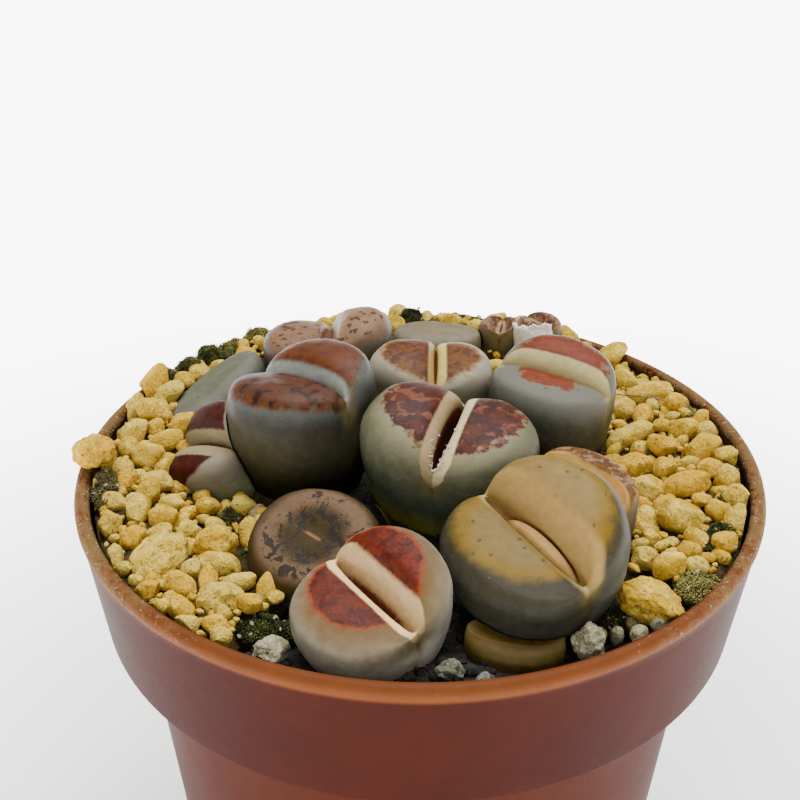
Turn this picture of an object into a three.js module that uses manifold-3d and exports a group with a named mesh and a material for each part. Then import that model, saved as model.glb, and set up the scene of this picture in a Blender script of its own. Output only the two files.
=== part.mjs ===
// A clump of living stones in a round terracotta coloured plastic pot, with yellow grit over dark soil.
// Millimetres, +Z up. The origin is the middle of the pot's base, and the viewer's side is -Y.

import * as THREE from "three";
import { mergeVertices } from "three/addons/utils/BufferGeometryUtils.js";
import Module from "manifold-3d";

const wasm = await Module();
wasm.setup();

// Driving dimensions of the pot.
const POT = {
  rimRadius: 52.5,
  height: 90,
  lip: 1.1,
  collarTop: 51.9,
  collarFoot: 50.3,
  collarHeight: 21.3,
  shoulder: 45.2,
  foot: 40.5,
  wall: 1.2,
  floor: 2,
  edge: 0.8,
  sides: 64,
};
const DRAIN = { holes: 6, ring: 27, radius: 3.5, channelWide: 5, channelDeep: 0.8, sides: 12 };

// Clearance between pieces that touch.
const GAP = 0.32;

// Soil and grit surfaces: their levels, and what they rise by in the middle, at the front, wall and back.
const SOIL = {
  level: 82,
  crown: 1.6,
  crownReach: 30,
  frontRise: 2.4,
  frontFrom: 34,
  frontTo: 44,
  bump: 0.35,
  sides: 32,
  rings: 6,
};
const GRIT = {
  level: 84.6,
  wallRise: 1.9,
  wallFrom: 30,
  wallTo: 46,
  backRise: 2.8,
  backFrom: 26,
  backTo: 44,
  inner: 21,
  from: -42,
  to: 239,
  steps: 36,
  rings: 4,
  under: 0.5,
  edge: 0.9,
};
const FILL = { spots: 210, smallest: 2.1, largest: 3.2, rise: 0.35, clear: 1.3 };

// Bodies. at: middle at ground level. turn: the fissure's angle from +Y. left, right: half widths of the
// two leaves. reach: half length along the fissure. crestLeft, crestRight: heights of the leaves.
// saddle: height at the fissure's ends. lean, toward: tilt and where it tilts. gap, cleft: the fissure's
// width and depth. notch: how far its ends cut in. girth: share of the full width at ground level.
const BODIES = {
  body_tall_rust: {
    at: [-17.3, 1.5, 83], turn: 50, left: 12.5, right: 11.5, reach: 10.8, crestLeft: 19, crestRight: 22,
    saddle: 16, lean: 8, toward: 110, gap: 0.3, cleft: 3.5, notch: 0.1, girth: 0.72, tint: 0x8d8a86,
  },
  body_heart_maroon: {
    at: [4.5, -4, 83], turn: -18, left: 13.5, right: 13.5, reach: 11, crestLeft: 18, crestRight: 16.5,
    saddle: 12.5, lean: 8, toward: 270, gap: 1.6, cleft: 7, notch: 0.18, girth: 0.8, tint: 0x8f9384,
  },
  body_wide_tan: {
    at: [15.2, -27.5, 85], turn: 34, left: 12, right: 12, reach: 12.3, crestLeft: 11, crestRight: 16,
    saddle: 9.5, lean: 12, toward: 250, gap: 1.6, cleft: 5, notch: 0.12, girth: 0.8, tint: 0xb09a72,
  },
  body_cream_brick: {
    at: [-5.6, -35.8, 84], turn: 40, left: 10.3, right: 9.5, reach: 9.5, crestLeft: 9, crestRight: 12.5,
    saddle: 7.5, lean: 10, toward: 260, gap: 1.2, cleft: 5, notch: 0.14, girth: 0.86, tint: 0xb9a08f,
  },
  body_flat_brown: {
    at: [-14, -21, 82], turn: 50, left: 9.2, right: 9.2, reach: 9, crestLeft: 8.7, crestRight: 9.5,
    saddle: 9, lean: 16, toward: 250, gap: 0.3, cleft: 0.6, notch: 0, girth: 0.88,
    lip: 0.1, tint: 0x80705a,
  },
  body_split_red: {
    at: [-29.5, 1.5, 83], turn: 60, left: 8, right: 8, reach: 8, crestLeft: 10, crestRight: 12,
    saddle: 6.5, lean: 26, toward: 195, gap: 2.2, cleft: 5, notch: 0.2, girth: 0.85, tint: 0x8a8578,
  },
  body_plain_grey: {
    at: [-33.5, 22, 83], turn: -33, left: 5.5, right: 5.5, reach: 11, crestLeft: 8.5, crestRight: 8.5,
    saddle: 7.5, lean: 14, toward: 205, gap: 0.3, cleft: 0.5, notch: 0, girth: 0.85,
    lip: 0.2, steps: 6, tint: 0x8b8e80,
  },
  body_back_lilac: {
    at: [-16, 32, 84], turn: 0, left: 12, right: 12, reach: 9, crestLeft: 11.5, crestRight: 15,
    saddle: 9, lean: 0, toward: 0, gap: 1.5, cleft: 4, notch: 0.15, girth: 0.85, tint: 0x9c8580,
  },
  body_orange_pair: {
    at: [3.2, 20, 84], turn: -2, left: 11.5, right: 9.8, reach: 8.5, crestLeft: 14, crestRight: 13,
    saddle: 10, lean: 4, toward: 270, gap: 0.3, cleft: 3, notch: 0.1, girth: 0.85, tint: 0x9c8468,
  },
  body_back_grey: {
    at: [4, 38, 84], turn: 80, left: 7, right: 7, reach: 8.5, crestLeft: 9, crestRight: 9,
    saddle: 8, lean: 6, toward: 90, gap: 0.3, cleft: 1, notch: 0, girth: 0.85,
    steps: 6, tint: 0x9a948c,
  },
  body_coral_bands: {
    at: [22, 11.5, 84], turn: 60, left: 10, right: 10, reach: 10.3, crestLeft: 15, crestRight: 17,
    saddle: 12.5, lean: 6, toward: 270, gap: 0.3, cleft: 3, notch: 0.05, girth: 0.82, tint: 0x8b8c86,
  },
  body_pink_behind: {
    at: [23, -15, 84.5], turn: 40, left: 5.5, right: 6.5, reach: 9, crestLeft: 10.5, crestRight: 11.5,
    saddle: 9, lean: 0, toward: 0, gap: 0.5, cleft: 3, notch: 0.1, girth: 0.85, tint: 0xa98c80,
  },
  body_old_olive: {
    at: [11.7, -39, 82], turn: 80, left: 4.6, right: 4.6, reach: 6.5, crestLeft: 5, crestRight: 5,
    saddle: 5, lean: 0, toward: 0, gap: 0.3, cleft: 0.4, notch: 0, girth: 0.9,
    lip: 0.2, root: 8, steps: 6, tint: 0x5e4f2c,
  },
  body_small_back: {
    at: [16.3, 40.5, 86], turn: -10, left: 4.3, right: 3.4, reach: 4, crestLeft: 7.5, crestRight: 7.5,
    saddle: 6.5, lean: 0, toward: 0, gap: 0.4, cleft: 2, notch: 0.1, girth: 0.85,
    root: 9, steps: 6, tint: 0x9b7a6a,
  },
  body_sheathed_back: {
    at: [23.2, 38.6, 87.4], turn: 30, left: 4, right: 4.1, reach: 4.4, crestLeft: 7.6, crestRight: 7.6,
    saddle: 6.5, lean: 0, toward: 0, gap: 0.4, cleft: 2, notch: 0.1, girth: 0.85,
    root: 9, steps: 6, tint: 0x7f7a66,
  },
};
const BODY = { steps: 8, root: 12, squareness: 2.2, crestFall: 0.8, fissureShare: 0.9, notchWidth: 0.28 };

// Where two bodies press together, the first gives way to the second.
const PRESSED = [
  ["body_split_red", "body_tall_rust"],
  ["body_tall_rust", "body_heart_maroon"],
  ["body_tall_rust", "body_orange_pair"],
  ["body_tall_rust", "body_back_lilac"],
  ["body_flat_brown", "body_cream_brick"],
  ["body_flat_brown", "body_tall_rust"],
  ["body_flat_brown", "body_heart_maroon"],
  ["body_pink_behind", "body_wide_tan"],
  ["body_pink_behind", "body_coral_bands"],
  ["body_pink_behind", "body_heart_maroon"],
  ["body_heart_maroon", "body_wide_tan"],
  ["body_coral_bands", "body_heart_maroon"],
  ["body_orange_pair", "body_heart_maroon"],
  ["body_orange_pair", "body_coral_bands"],
  ["body_back_lilac", "body_orange_pair"],
  ["body_back_grey", "body_orange_pair"],
  ["body_back_grey", "body_back_lilac"],
  ["body_small_back", "body_back_grey"],
  ["body_sheathed_back", "body_small_back"],
  ["body_plain_grey", "body_split_red"],
  ["body_plain_grey", "body_back_lilac"],
  ["body_cream_brick", "body_wide_tan"],
  ["body_old_olive", "body_wide_tan"],
  ["body_old_olive", "body_cream_brick"],
];

// The new pair of leaves that swells in the tan body's fissure: place of its middle and half sizes.
const NEW_LEAVES = { host: "body_wide_tan", along: -1.5, rise: 7.2, half: [1.9, 6.2, 3.6] };

// The papery old leaf that still wraps the foot of the last body, from the body's skin outwards.
const SHEATH = {
  host: "body_sheathed_back",
  beside: "body_small_back",
  inside: 0.35,
  outside: 0.95,
  from: 87.8,
  to: 92.2,
  facing: 250,
};

// Larger loose stones. at: middle. size: length, width and height. turn: of the length from +X.
const STONES = {
  stone_on_rim: {
    at: [-49.8, -3.5, 92.7], size: [7.2, 5.4, 4.6], turn: 15,
    seed: 3, detail: 1, tint: 0xc9a963,
  },
  stone_flat_left: {
    at: [-36, -24.3, 87.2], size: [10.5, 7.2, 5.4], turn: 75,
    seed: 8, detail: 1, tint: 0xc4aa6c,
  },
  stone_round_left: {
    at: [-28.7, -21.2, 87.4], size: [6.2, 5.4, 5.8], turn: 30,
    seed: 12, detail: 1, tint: 0xc9a256,
  },
  stone_rough_left: {
    at: [-26.6, -33.2, 87.2], size: [6.8, 5, 5], turn: 10,
    seed: 17, detail: 1, tint: 0xd1b472,
  },
  stone_corner_right: {
    at: [29.4, -33.7, 87.4], size: [9.5, 6, 5.6], turn: -40,
    seed: 23, detail: 1, tint: 0xc2a468,
  },
  pumice_left: {
    at: [-18.9, -41.6, 86], size: [4.8, 4, 3.8], turn: 20,
    seed: 31, detail: 1, tint: 0xa8a486,
  },
  pumice_right: {
    at: [20.8, -40.6, 86.8], size: [4.4, 4.2, 5.2], turn: 60,
    seed: 37, detail: 1, tint: 0xb9b596,
  },
  pebble_front_grey: {
    at: [3.4, -44.6, 85.6], size: [3.8, 3, 3], turn: 0,
    seed: 41, detail: 1, tint: 0x7c7d78,
  },
  pebble_front_dark: {
    at: [7.4, -46.3, 85.4], size: [2.8, 2.4, 2.6], turn: 40,
    seed: 43, detail: 1, tint: 0x6c6a60,
  },
};

// Cushions of moss on the soil: middle and half sizes.
const MOSS = {
  moss_cushion_back: { at: [-0.5, 46.8, 90.4], half: [3.4, 2.2, 2.6], seed: 5 },
  moss_cushion_left: { at: [-34.2, 33.6, 88], half: [3.2, 3, 2.6], seed: 9 },
  moss_cushion_front: { at: [-21.2, -36.3, 84.6], half: [3, 3.2, 2.3], seed: 14 },
  moss_cushion_right: { at: [36.4, -30.9, 86.2], half: [2.6, 3, 2], seed: 19 },
};

// The grit's larger stones: x, y, length, width, height and the turn of the length.
const GRIT_STONES = [
  [-46.4, 7, 5.4, 4.2, 3.8, 30],
  [-43, 0.8, 6.4, 4.6, 4.8, -35],
  [-39.6, -1.6, 4.6, 3.2, 4.2, 80],
  [-44, 12.6, 5.6, 4.8, 4.6, 20],
  [-44.8, -6.2, 3.6, 3.2, 3.4, 60],
  [-40.8, -8.8, 4.2, 3.2, 3.8, 75],
  [-45, -11.6, 3.6, 3, 3.2, 10],
  [-37.6, -14.8, 5.2, 3.6, 3.8, -20],
  [-33.6, -17.4, 3.4, 3, 3.2, 40],
  [-40.6, -20.6, 3.6, 3.4, 3.4, 0],
  [-44.4, -17.4, 4, 3, 3.6, 70],
  [-31, -27, 3.6, 2.6, 3.2, 65],
  [-31.8, -31, 4, 3.6, 3.4, -25],
  [-36, -32, 3.2, 2.6, 2.8, 15],
  [-30.8, -36, 4, 3, 3.2, -35],
  [-25.8, -38.8, 3.6, 2.8, 2.8, -10],
  [-21.8, -31, 3, 2.2, 2.4, 20],
  [35.4, 9.4, 7.8, 4, 4, 10],
  [34.8, 1, 7.4, 3.8, 3.8, -10],
  [39.8, 4.6, 6, 4, 4, 20],
  [44.8, 1.4, 5.6, 4.8, 4.8, 5],
  [47, 7, 3.8, 3.4, 3.6, 60],
  [46.6, -7, 4.4, 3.6, 4.4, 80],
  [44.4, 16.2, 4.4, 4, 4.2, 45],
  [40.4, -7.4, 6.8, 4.4, 4, -5],
  [35, -6.4, 6.2, 4.6, 4.4, 15],
  [37.6, -16.4, 6.8, 5.2, 5, -15],
  [43.4, -15.6, 4.2, 3.8, 3.8, 0],
  [46.2, -12.4, 3.2, 3, 3.2, 50],
  [32.8, -19.6, 3.2, 3, 3, 30],
  [30.8, -24.6, 3.6, 3.2, 3.2, 0],
  [38.6, -22, 3.8, 3.2, 3.2, -20],
  [33.4, -27.6, 4.6, 3.6, 3.6, 20],
  [40.6, 20.4, 7.4, 4.4, 4.2, -5],
  [35.6, 17, 4.4, 3.8, 3.8, 15],
  [35.4, 32.4, 7.6, 4.6, 4, 35],
  [-43.4, 20, 6.4, 4.6, 4, 40],
];

// Colours of the pieces with no colour of their own above.
const TINTS = {
  pot: 0xb0583a,
  soil: 0x2b241d,
  grit: 0xcbb074,
  moss: 0x4d5a2c,
  sheath: 0xe6e0d2,
  leaves: 0xc08a4e,
};

const Z = new THREE.Vector3(0, 0, 1);
const degrees = THREE.MathUtils.degToRad;
const smooth = THREE.MathUtils.smoothstep;

// A repeatable draw between 0 and 1 for two whole numbers.
function draw(i, k) {
  const wave = Math.sin(i * 12.9898 + k * 78.233) * 43758.5453;
  return wave - Math.floor(wave);
}

// Closed three.js geometry to a solid, with shared corners merged and collapsed faces left out.
function solidOf(geometry) {
  const bare = geometry.clone();
  bare.deleteAttribute("normal");
  bare.deleteAttribute("uv");
  const merged = mergeVertices(bare, 1e-4);
  const corners = merged.index.array;
  const kept = [];
  for (let i = 0; i < corners.length; i += 3) {
    const [a, b, c] = corners.slice(i, i + 3);
    if (a !== b && b !== c && c !== a) {
      kept.push(a, b, c);
    }
  }
  const vertProperties = new Float32Array(merged.attributes.position.array);
  return new wasm.Manifold(new wasm.Mesh({ numProp: 3, vertProperties, triVerts: new Uint32Array(kept) }));
}

// The largest body of a solid: loose scraps and sealed hollows are left out.
function largest(solid) {
  return solid.decompose().reduce((best, piece) => (piece.volume() > best.volume() ? piece : best));
}

// A solid back to geometry, measured from the piece's own place.
function geometryOf(solid, place) {
  const { numProp, vertProperties, triVerts } = solid.getMesh();
  const positions = [];
  for (let i = 0; i < vertProperties.length; i += numProp) {
    positions.push(vertProperties[i], vertProperties[i + 1], vertProperties[i + 2]);
  }
  const geometry = new THREE.BufferGeometry();
  geometry.setAttribute("position", new THREE.Float32BufferAttribute(positions, 3));
  geometry.setIndex([...triVerts]);
  geometry.translate(-place[0], -place[1], -place[2]);
  geometry.computeVertexNormals();
  return geometry;
}

// A geometry from corner positions and faces.
function geometryFrom(positions, faces) {
  const geometry = new THREE.BufferGeometry();
  geometry.setAttribute("position", new THREE.Float32BufferAttribute(positions.flat(), 3));
  geometry.setIndex(faces.flat());
  return geometry;
}

// Revolves a profile of [radius, height] pairs about +Z.
function revolved(profile, sides) {
  const points = profile.map(([radius, height]) => new THREE.Vector2(radius, height));
  return new THREE.LatheGeometry(points, sides).rotateX(Math.PI / 2);
}

// The radius of the pot's outside at a height.
function outsideRadius(height) {
  const step = POT.height - POT.collarHeight;
  if (height < step) {
    return THREE.MathUtils.mapLinear(height, 0, step, POT.foot, POT.shoulder);
  }
  return THREE.MathUtils.mapLinear(height, step, POT.height, POT.collarFoot, POT.collarTop);
}

// The pot: a tapered body, a wider collar over a small step, and a round bead for a lip.
function potSolid() {
  const { rimRadius, height, lip, collarFoot, collarHeight, shoulder, foot, wall, floor, edge, sides } = POT;
  const step = height - collarHeight;
  const outside = [[0, 0], [foot - edge, 0], [foot, edge], [shoulder, step], [collarFoot - edge, step]];
  const inside = [
    [collarFoot - wall, step + wall],
    [shoulder - wall, step + wall],
    [foot - wall, floor],
    [0, floor],
  ];
  const bead = [];
  const beadSteps = 6;
  for (let k = 0; k <= beadSteps; k += 1) {
    const angle = THREE.MathUtils.mapLinear(k, 0, beadSteps, -Math.PI / 4, Math.PI * 1.25);
    bead.push([rimRadius - lip + lip * Math.cos(angle), height - lip + lip * Math.sin(angle)]);
  }
  const profile = [...outside, [collarFoot, step + edge], ...bead, ...inside];
  let pot = solidOf(revolved(profile, sides));
  for (let k = 0; k < DRAIN.holes; k += 1) {
    const angle = (k * Math.PI * 2) / DRAIN.holes;
    const hole = new THREE.CylinderGeometry(DRAIN.radius, DRAIN.radius, floor * 3, DRAIN.sides);
    hole.rotateX(Math.PI / 2).translate(DRAIN.ring, 0, 0).rotateZ(angle);
    const length = foot - DRAIN.ring + edge * 2;
    const channel = new THREE.BoxGeometry(length, DRAIN.channelWide, DRAIN.channelDeep * 2);
    channel.translate(DRAIN.ring + length / 2, 0, 0).rotateZ(angle);
    pot = pot.subtract(solidOf(hole)).subtract(solidOf(channel));
  }
  return pot;
}

// What may fill the pot at each height, up to well above the rim, clear of its wall and lip.
function insideSolid(top) {
  const step = POT.height - POT.collarHeight + POT.wall;
  const mouth = POT.rimRadius - 2 * POT.lip - GAP;
  const wallAt = (height) => outsideRadius(height) - POT.wall - GAP;
  const profile = [
    [0, POT.floor + GAP],
    [wallAt(POT.floor), POT.floor + GAP],
    [wallAt(step - POT.wall - 0.01), step + GAP],
    [wallAt(step), step + GAP],
    [mouth, POT.height - 2 * POT.lip],
    [mouth, top],
    [0, top],
  ];
  return solidOf(revolved(profile, POT.sides / 2));
}

// Height of the soil's surface.
function soilTop(x, y) {
  const crown = SOIL.crown * (1 - smooth(Math.hypot(x, y), 0, SOIL.crownReach));
  const front = SOIL.frontRise * smooth(-y, SOIL.frontFrom, SOIL.frontTo);
  return SOIL.level + crown + front + SOIL.bump * Math.sin(0.35 * x) * Math.cos(0.31 * y + 0.6);
}

// Height of the grit's bed, that its stones stand out of.
function gritTop(x, y) {
  const wall = GRIT.wallRise * smooth(Math.hypot(x, y), GRIT.wallFrom, GRIT.wallTo);
  return GRIT.level + wall + GRIT.backRise * smooth(y, GRIT.backFrom, GRIT.backTo);
}

// Soil: all that lies under its surface inside the pot.
function soilSolid() {
  const positions = [[0, 0, 0], [0, 0, soilTop(0, 0)]];
  const faces = [];
  const radius = POT.rimRadius;
  const at = (ring, side) => 2 + ring * SOIL.sides + (side % SOIL.sides);
  for (let ring = 0; ring <= SOIL.rings; ring += 1) {
    const under = ring === SOIL.rings;
    const r = under ? radius : (radius * (ring + 1)) / SOIL.rings;
    for (let side = 0; side < SOIL.sides; side += 1) {
      const angle = (side * Math.PI * 2) / SOIL.sides;
      const [x, y] = [r * Math.cos(angle), r * Math.sin(angle)];
      positions.push([x, y, under ? 0 : soilTop(x, y)]);
      if (ring > 0) {
        faces.push([at(ring - 1, side), at(ring, side), at(ring, side + 1)]);
        faces.push([at(ring - 1, side), at(ring, side + 1), at(ring - 1, side + 1)]);
      } else {
        faces.push([1, at(0, side), at(0, side + 1)]);
      }
      if (under) {
        faces.push([at(ring, side), 0, at(ring, side + 1)]);
      }
    }
  }
  return solidOf(geometryFrom(positions, faces)).intersect(insideSolid(POT.height));
}

// The stations of half a body in section, from the root tip up the flank, over the face and down the
// cleft: share of the half width, share of the height, drop below the crest, and whether it is on top.
function bodySection(body, halfWidth) {
  const { gap, cleft, girth, lip = 1 } = body;
  const wallDrop = cleft > 1.5 ? Math.max(cleft * 0.6, 1.5) : cleft * 0.6;
  return [
    [0, -1, 0, false],
    [0.52, -0.35, 0, false],
    [girth, 0, 0, false],
    [0.53 + 0.5 * girth, 0.3, 0, false],
    [1, 0.62, 0, true],
    [0.97, 0.85, 0, true],
    [0.84, 0.962, 0, true],
    [0.58, 1, 0, true],
    [(gap / 2 + 1.7) / halfWidth, 1, 0.45 * lip, true],
    [(gap / 2 + 0.05) / halfWidth, 1, wallDrop, true],
    [0, 1, cleft, true],
  ];
}

// A point of one half body, before the body leans. The angle runs round the half between the fissure's ends.
function bodyPoint(body, side, angle, station, grow) {
  const halfWidth = side < 0 ? body.left : body.right;
  const onFloor = station[0] === 0 && station[1] > 0;
  const sideCrest = side < 0 ? body.crestLeft : body.crestRight;
  const crest = onFloor ? (body.crestLeft + body.crestRight) / 2 : sideCrest;
  const across = Math.abs(Math.cos(angle)) < 1e-9 ? 0 : Math.abs(Math.cos(angle));
  const [share, rise, drop, onTop] = station;
  const power = 2 / BODY.squareness;
  const along = Math.sign(Math.sin(angle)) * Math.abs(Math.sin(angle)) ** power;
  const cutShare = THREE.MathUtils.clamp((rise - 0.1) / 0.6, 0, 1);
  const cut = body.notch * Math.exp(-across / BODY.notchWidth) * cutShare;
  const rimAlong = (body.reach + grow) * along * (1 - cut);
  const fissureAlong = body.reach * BODY.fissureShare * (1 - body.notch) * along;
  const x = side * (halfWidth + grow) * across ** power * share;
  const y = onTop ? THREE.MathUtils.lerp(fissureAlong, rimAlong, share) : rimAlong * share;
  const height = body.saddle + (crest - body.saddle) * across ** BODY.crestFall;
  const depth = (body.root ?? BODY.root) + grow;
  const z = rise > 0 ? rise * (height + grow) - drop * across ** 0.5 : rise * depth;
  return new THREE.Vector3(x, y, z);
}

// Turns and leans a point of a body, and moves it to the body's place.
function placedOn(body, point) {
  const azimuth = degrees(body.toward);
  const hinge = new THREE.Vector3(-Math.sin(azimuth), Math.cos(azimuth), 0);
  const turned = point.applyAxisAngle(Z, degrees(body.turn)).applyAxisAngle(hinge, degrees(body.lean));
  return turned.add(new THREE.Vector3(...body.at));
}

// A whole body: two halves that share the seam at the fissure's ends, the root tip and the cleft's floor.
function bodySolid(body, grow = 0) {
  const positions = [];
  const faces = [];
  const seen = new Map();
  const last = bodySection(body, 1).length - 1;
  const steps = body.steps ?? BODY.steps;
  const corner = (side, i, j) => {
    const seam = i === 0 || i === steps || j === last;
    const key = j === 0 ? "tip" : `${seam ? 0 : side} ${i} ${j}`;
    if (!seen.has(key)) {
      const angle = THREE.MathUtils.mapLinear(i, 0, steps, -Math.PI / 2, Math.PI / 2);
      const station = bodySection(body, side < 0 ? body.left : body.right)[j];
      seen.set(key, positions.length);
      positions.push(placedOn(body, bodyPoint(body, side, angle, station, grow)).toArray());
    }
    return seen.get(key);
  };
  for (const side of [-1, 1]) {
    for (let i = 0; i < steps; i += 1) {
      for (let j = 0; j < last; j += 1) {
        const [a, b] = [corner(side, i, j), corner(side, i + 1, j)];
        const [c, d] = [corner(side, i + 1, j + 1), corner(side, i, j + 1)];
        const pair = i < steps / 2 ? [[a, b, d], [b, c, d]] : [[a, b, c], [a, c, d]];
        for (const face of j === 0 ? [[a, c, d]] : pair) {
          faces.push(side > 0 ? face : face.toReversed());
        }
      }
    }
  }
  return solidOf(geometryFrom(positions, faces));
}

// The directions of a stone's flat breaks, spread evenly over a sphere and shaken by the seed.
function breakPlanes(seed, count) {
  const golden = Math.PI * (3 - Math.sqrt(5));
  return Array.from({ length: count }, (_, k) => {
    const height = 1 - (2 * (k + 0.5)) / count;
    const ring = Math.sqrt(1 - height * height);
    const angle = k * golden + seed;
    const normal = new THREE.Vector3(ring * Math.cos(angle), ring * Math.sin(angle), height);
    const shake = new THREE.Vector3(draw(seed, k), draw(seed, k + 40), draw(seed, k + 80)).subScalar(0.5);
    normal.addScaledVector(shake, 0.5).normalize();
    return { normal, distance: 0.74 + 0.2 * draw(seed, k + 120) };
  });
}

// A stone: a ball whose surface is drawn in to its flat breaks, stretched to size, turned and placed.
function stoneSolid({ at, size, turn, seed, detail = 1 }, grow = 0) {
  const planes = breakPlanes(seed, 11);
  const geometry = new THREE.IcosahedronGeometry(1, detail);
  const position = geometry.attributes.position;
  const half = size.map((full) => full / 2 / 0.92 + grow);
  for (let i = 0; i < position.count; i += 1) {
    const point = new THREE.Vector3().fromBufferAttribute(position, i);
    let reach = 1;
    for (const { normal, distance } of planes) {
      const facing = point.dot(normal);
      reach = facing > 0.3 ? Math.min(reach, distance / facing) : reach;
    }
    position.setXYZ(i, point.x * reach * half[0], point.y * reach * half[1], point.z * reach * half[2]);
  }
  return solidOf(geometry.rotateZ(degrees(turn)).translate(...at));
}

// A cushion of moss: an uneven flattened ball.
function mossSolid({ at, half, seed }, grow = 0) {
  const geometry = new THREE.IcosahedronGeometry(1, 1);
  const position = geometry.attributes.position;
  for (let i = 0; i < position.count; i += 1) {
    const point = new THREE.Vector3().fromBufferAttribute(position, i);
    const lump = 1 + 0.1 * Math.sin(4 * point.x + seed) * Math.cos(3 * point.y + 2 * point.z + seed);
    const [x, y, z] = half.map((size, axis) => point.getComponent(axis) * lump * (size + grow));
    position.setXYZ(i, x, y, z);
  }
  return solidOf(geometry.translate(...at));
}

// The new leaves in the fissure: a lens that stands on edge along it.
function newLeavesSolid(grow = 0) {
  const body = BODIES[NEW_LEAVES.host];
  const geometry = new THREE.SphereGeometry(1, 12, 8);
  const half = NEW_LEAVES.half.map((size) => size + grow);
  geometry.scale(...half).translate(0, NEW_LEAVES.along, NEW_LEAVES.rise);
  const position = geometry.attributes.position;
  for (let i = 0; i < position.count; i += 1) {
    const point = placedOn(body, new THREE.Vector3().fromBufferAttribute(position, i));
    position.setXYZ(i, point.x, point.y, point.z);
  }
  return solidOf(geometry);
}

// The papery sheath: the front half of a skin round the body's foot.
function sheathSolid(bodyHost) {
  const skin = bodySolid(bodyHost, SHEATH.outside).subtract(bodySolid(bodyHost, SHEATH.inside));
  const height = SHEATH.to - SHEATH.from;
  const span = 12;
  const block = new THREE.BoxGeometry(span, span, height).translate(span / 2, 0, height / 2);
  block.rotateZ(degrees(SHEATH.facing)).translate(bodyHost.at[0], bodyHost.at[1], SHEATH.from);
  const neighbour = bodySolid(BODIES[SHEATH.beside], GAP);
  return largest(skin.intersect(solidOf(block)).subtract(neighbour));
}

// The bed that the grit's stones stand in: a broad arc round the back of the clump.
function gritBedSolid() {
  const positions = [];
  const faces = [];
  const { rings, steps } = GRIT;
  const at = (step, ring, upper) => (step * (rings + 1) + ring) * 2 + upper;
  for (let step = 0; step <= steps; step += 1) {
    const angle = degrees(THREE.MathUtils.mapLinear(step, 0, steps, GRIT.from, GRIT.to));
    for (let ring = 0; ring <= rings; ring += 1) {
      const r = THREE.MathUtils.mapLinear(ring, 0, rings, GRIT.inner, POT.rimRadius);
      const [x, y] = [r * Math.cos(angle), r * Math.sin(angle)];
      const onEdge = step === 0 || step === steps || ring === 0;
      const lower = soilTop(x, y) + GRIT.under;
      positions.push([x, y, lower], [x, y, onEdge ? lower + GRIT.edge : gritTop(x, y)]);
    }
  }
  const quad = (a, b, c, d) => faces.push([a, b, c], [a, c, d]);
  for (let step = 0; step < steps; step += 1) {
    for (let ring = 0; ring < rings; ring += 1) {
      quad(at(step, ring, 1), at(step, ring + 1, 1), at(step + 1, ring + 1, 1), at(step + 1, ring, 1));
      quad(at(step, ring, 0), at(step + 1, ring, 0), at(step + 1, ring + 1, 0), at(step, ring + 1, 0));
    }
    quad(at(step, 0, 0), at(step, 0, 1), at(step + 1, 0, 1), at(step + 1, 0, 0));
    quad(at(step + 1, rings, 0), at(step + 1, rings, 1), at(step, rings, 1), at(step, rings, 0));
  }
  for (let ring = 0; ring < rings; ring += 1) {
    quad(at(0, ring, 0), at(0, ring + 1, 0), at(0, ring + 1, 1), at(0, ring, 1));
    quad(at(steps, ring, 1), at(steps, ring + 1, 1), at(steps, ring + 1, 0), at(steps, ring, 0));
  }
  return solidOf(geometryFrom(positions, faces));
}

// Whether a spot lies on the grit's arc and outside every body, loose stone and moss cushion.
function isOpen(x, y, clear) {
  const angle = THREE.MathUtils.euclideanModulo(THREE.MathUtils.radToDeg(Math.atan2(y, x)) - GRIT.from, 360);
  const onArc = angle < GRIT.to - GRIT.from && Math.hypot(x, y) > GRIT.inner + clear;
  const offBodies = Object.values(BODIES).every((body) => {
    const spot = new THREE.Vector2(x - body.at[0], y - body.at[1]);
    spot.rotateAround(new THREE.Vector2(), -degrees(body.turn));
    const halfWidth = spot.x < 0 ? body.left : body.right;
    return Math.hypot(spot.x / (halfWidth + clear), spot.y / (body.reach + clear)) > 1;
  });
  const offStones = Object.values(STONES).every(
    ({ at, size }) => Math.hypot(x - at[0], y - at[1]) > (size[0] + size[1]) / 4 + clear * 0.5,
  );
  const offMoss = Object.values(MOSS).every(
    ({ at, half }) => Math.hypot(x - at[0], y - at[1]) > half[0] + clear * 0.3,
  );
  return onArc && offBodies && offStones && offMoss;
}

// The grit: its larger stones, and smaller ones on a golden-angle spiral in the gaps, all sunk in the bed.
function gritSolid() {
  const grains = GRIT_STONES.map(([x, y, length, width, height, turn], k) => {
    const at = [x, y, gritTop(x, y) + height * FILL.rise * 0.7];
    return stoneSolid({ at, size: [length, width, height], turn, seed: 50 + k, detail: 0 });
  });
  const golden = Math.PI * (3 - Math.sqrt(5));
  const reach = POT.rimRadius - 2 * POT.lip - FILL.largest;
  for (let k = 0; k < FILL.spots; k += 1) {
    const r = reach * Math.sqrt((k + 0.5) / FILL.spots);
    const [x, y] = [r * Math.cos(k * golden), r * Math.sin(k * golden)];
    const half = THREE.MathUtils.lerp(FILL.smallest, FILL.largest, draw(k, 1));
    const offLarger = GRIT_STONES.every(
      ([sx, sy, length, width]) => Math.hypot(x - sx, y - sy) > (length + width) / 4 + half * 0.45,
    );
    if (offLarger && isOpen(x, y, FILL.clear)) {
      const size = [half * 2.1, half * (1.5 + 0.4 * draw(k, 2)), half * (1.5 + 0.3 * draw(k, 3))];
      const at = [x, y, gritTop(x, y) + half * FILL.rise];
      grains.push(stoneSolid({ at, size, turn: 360 * draw(k, 4), seed: 100 + k, detail: 0 }));
    }
  }
  return wasm.Manifold.union([gritBedSolid(), ...grains]);
}

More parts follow.
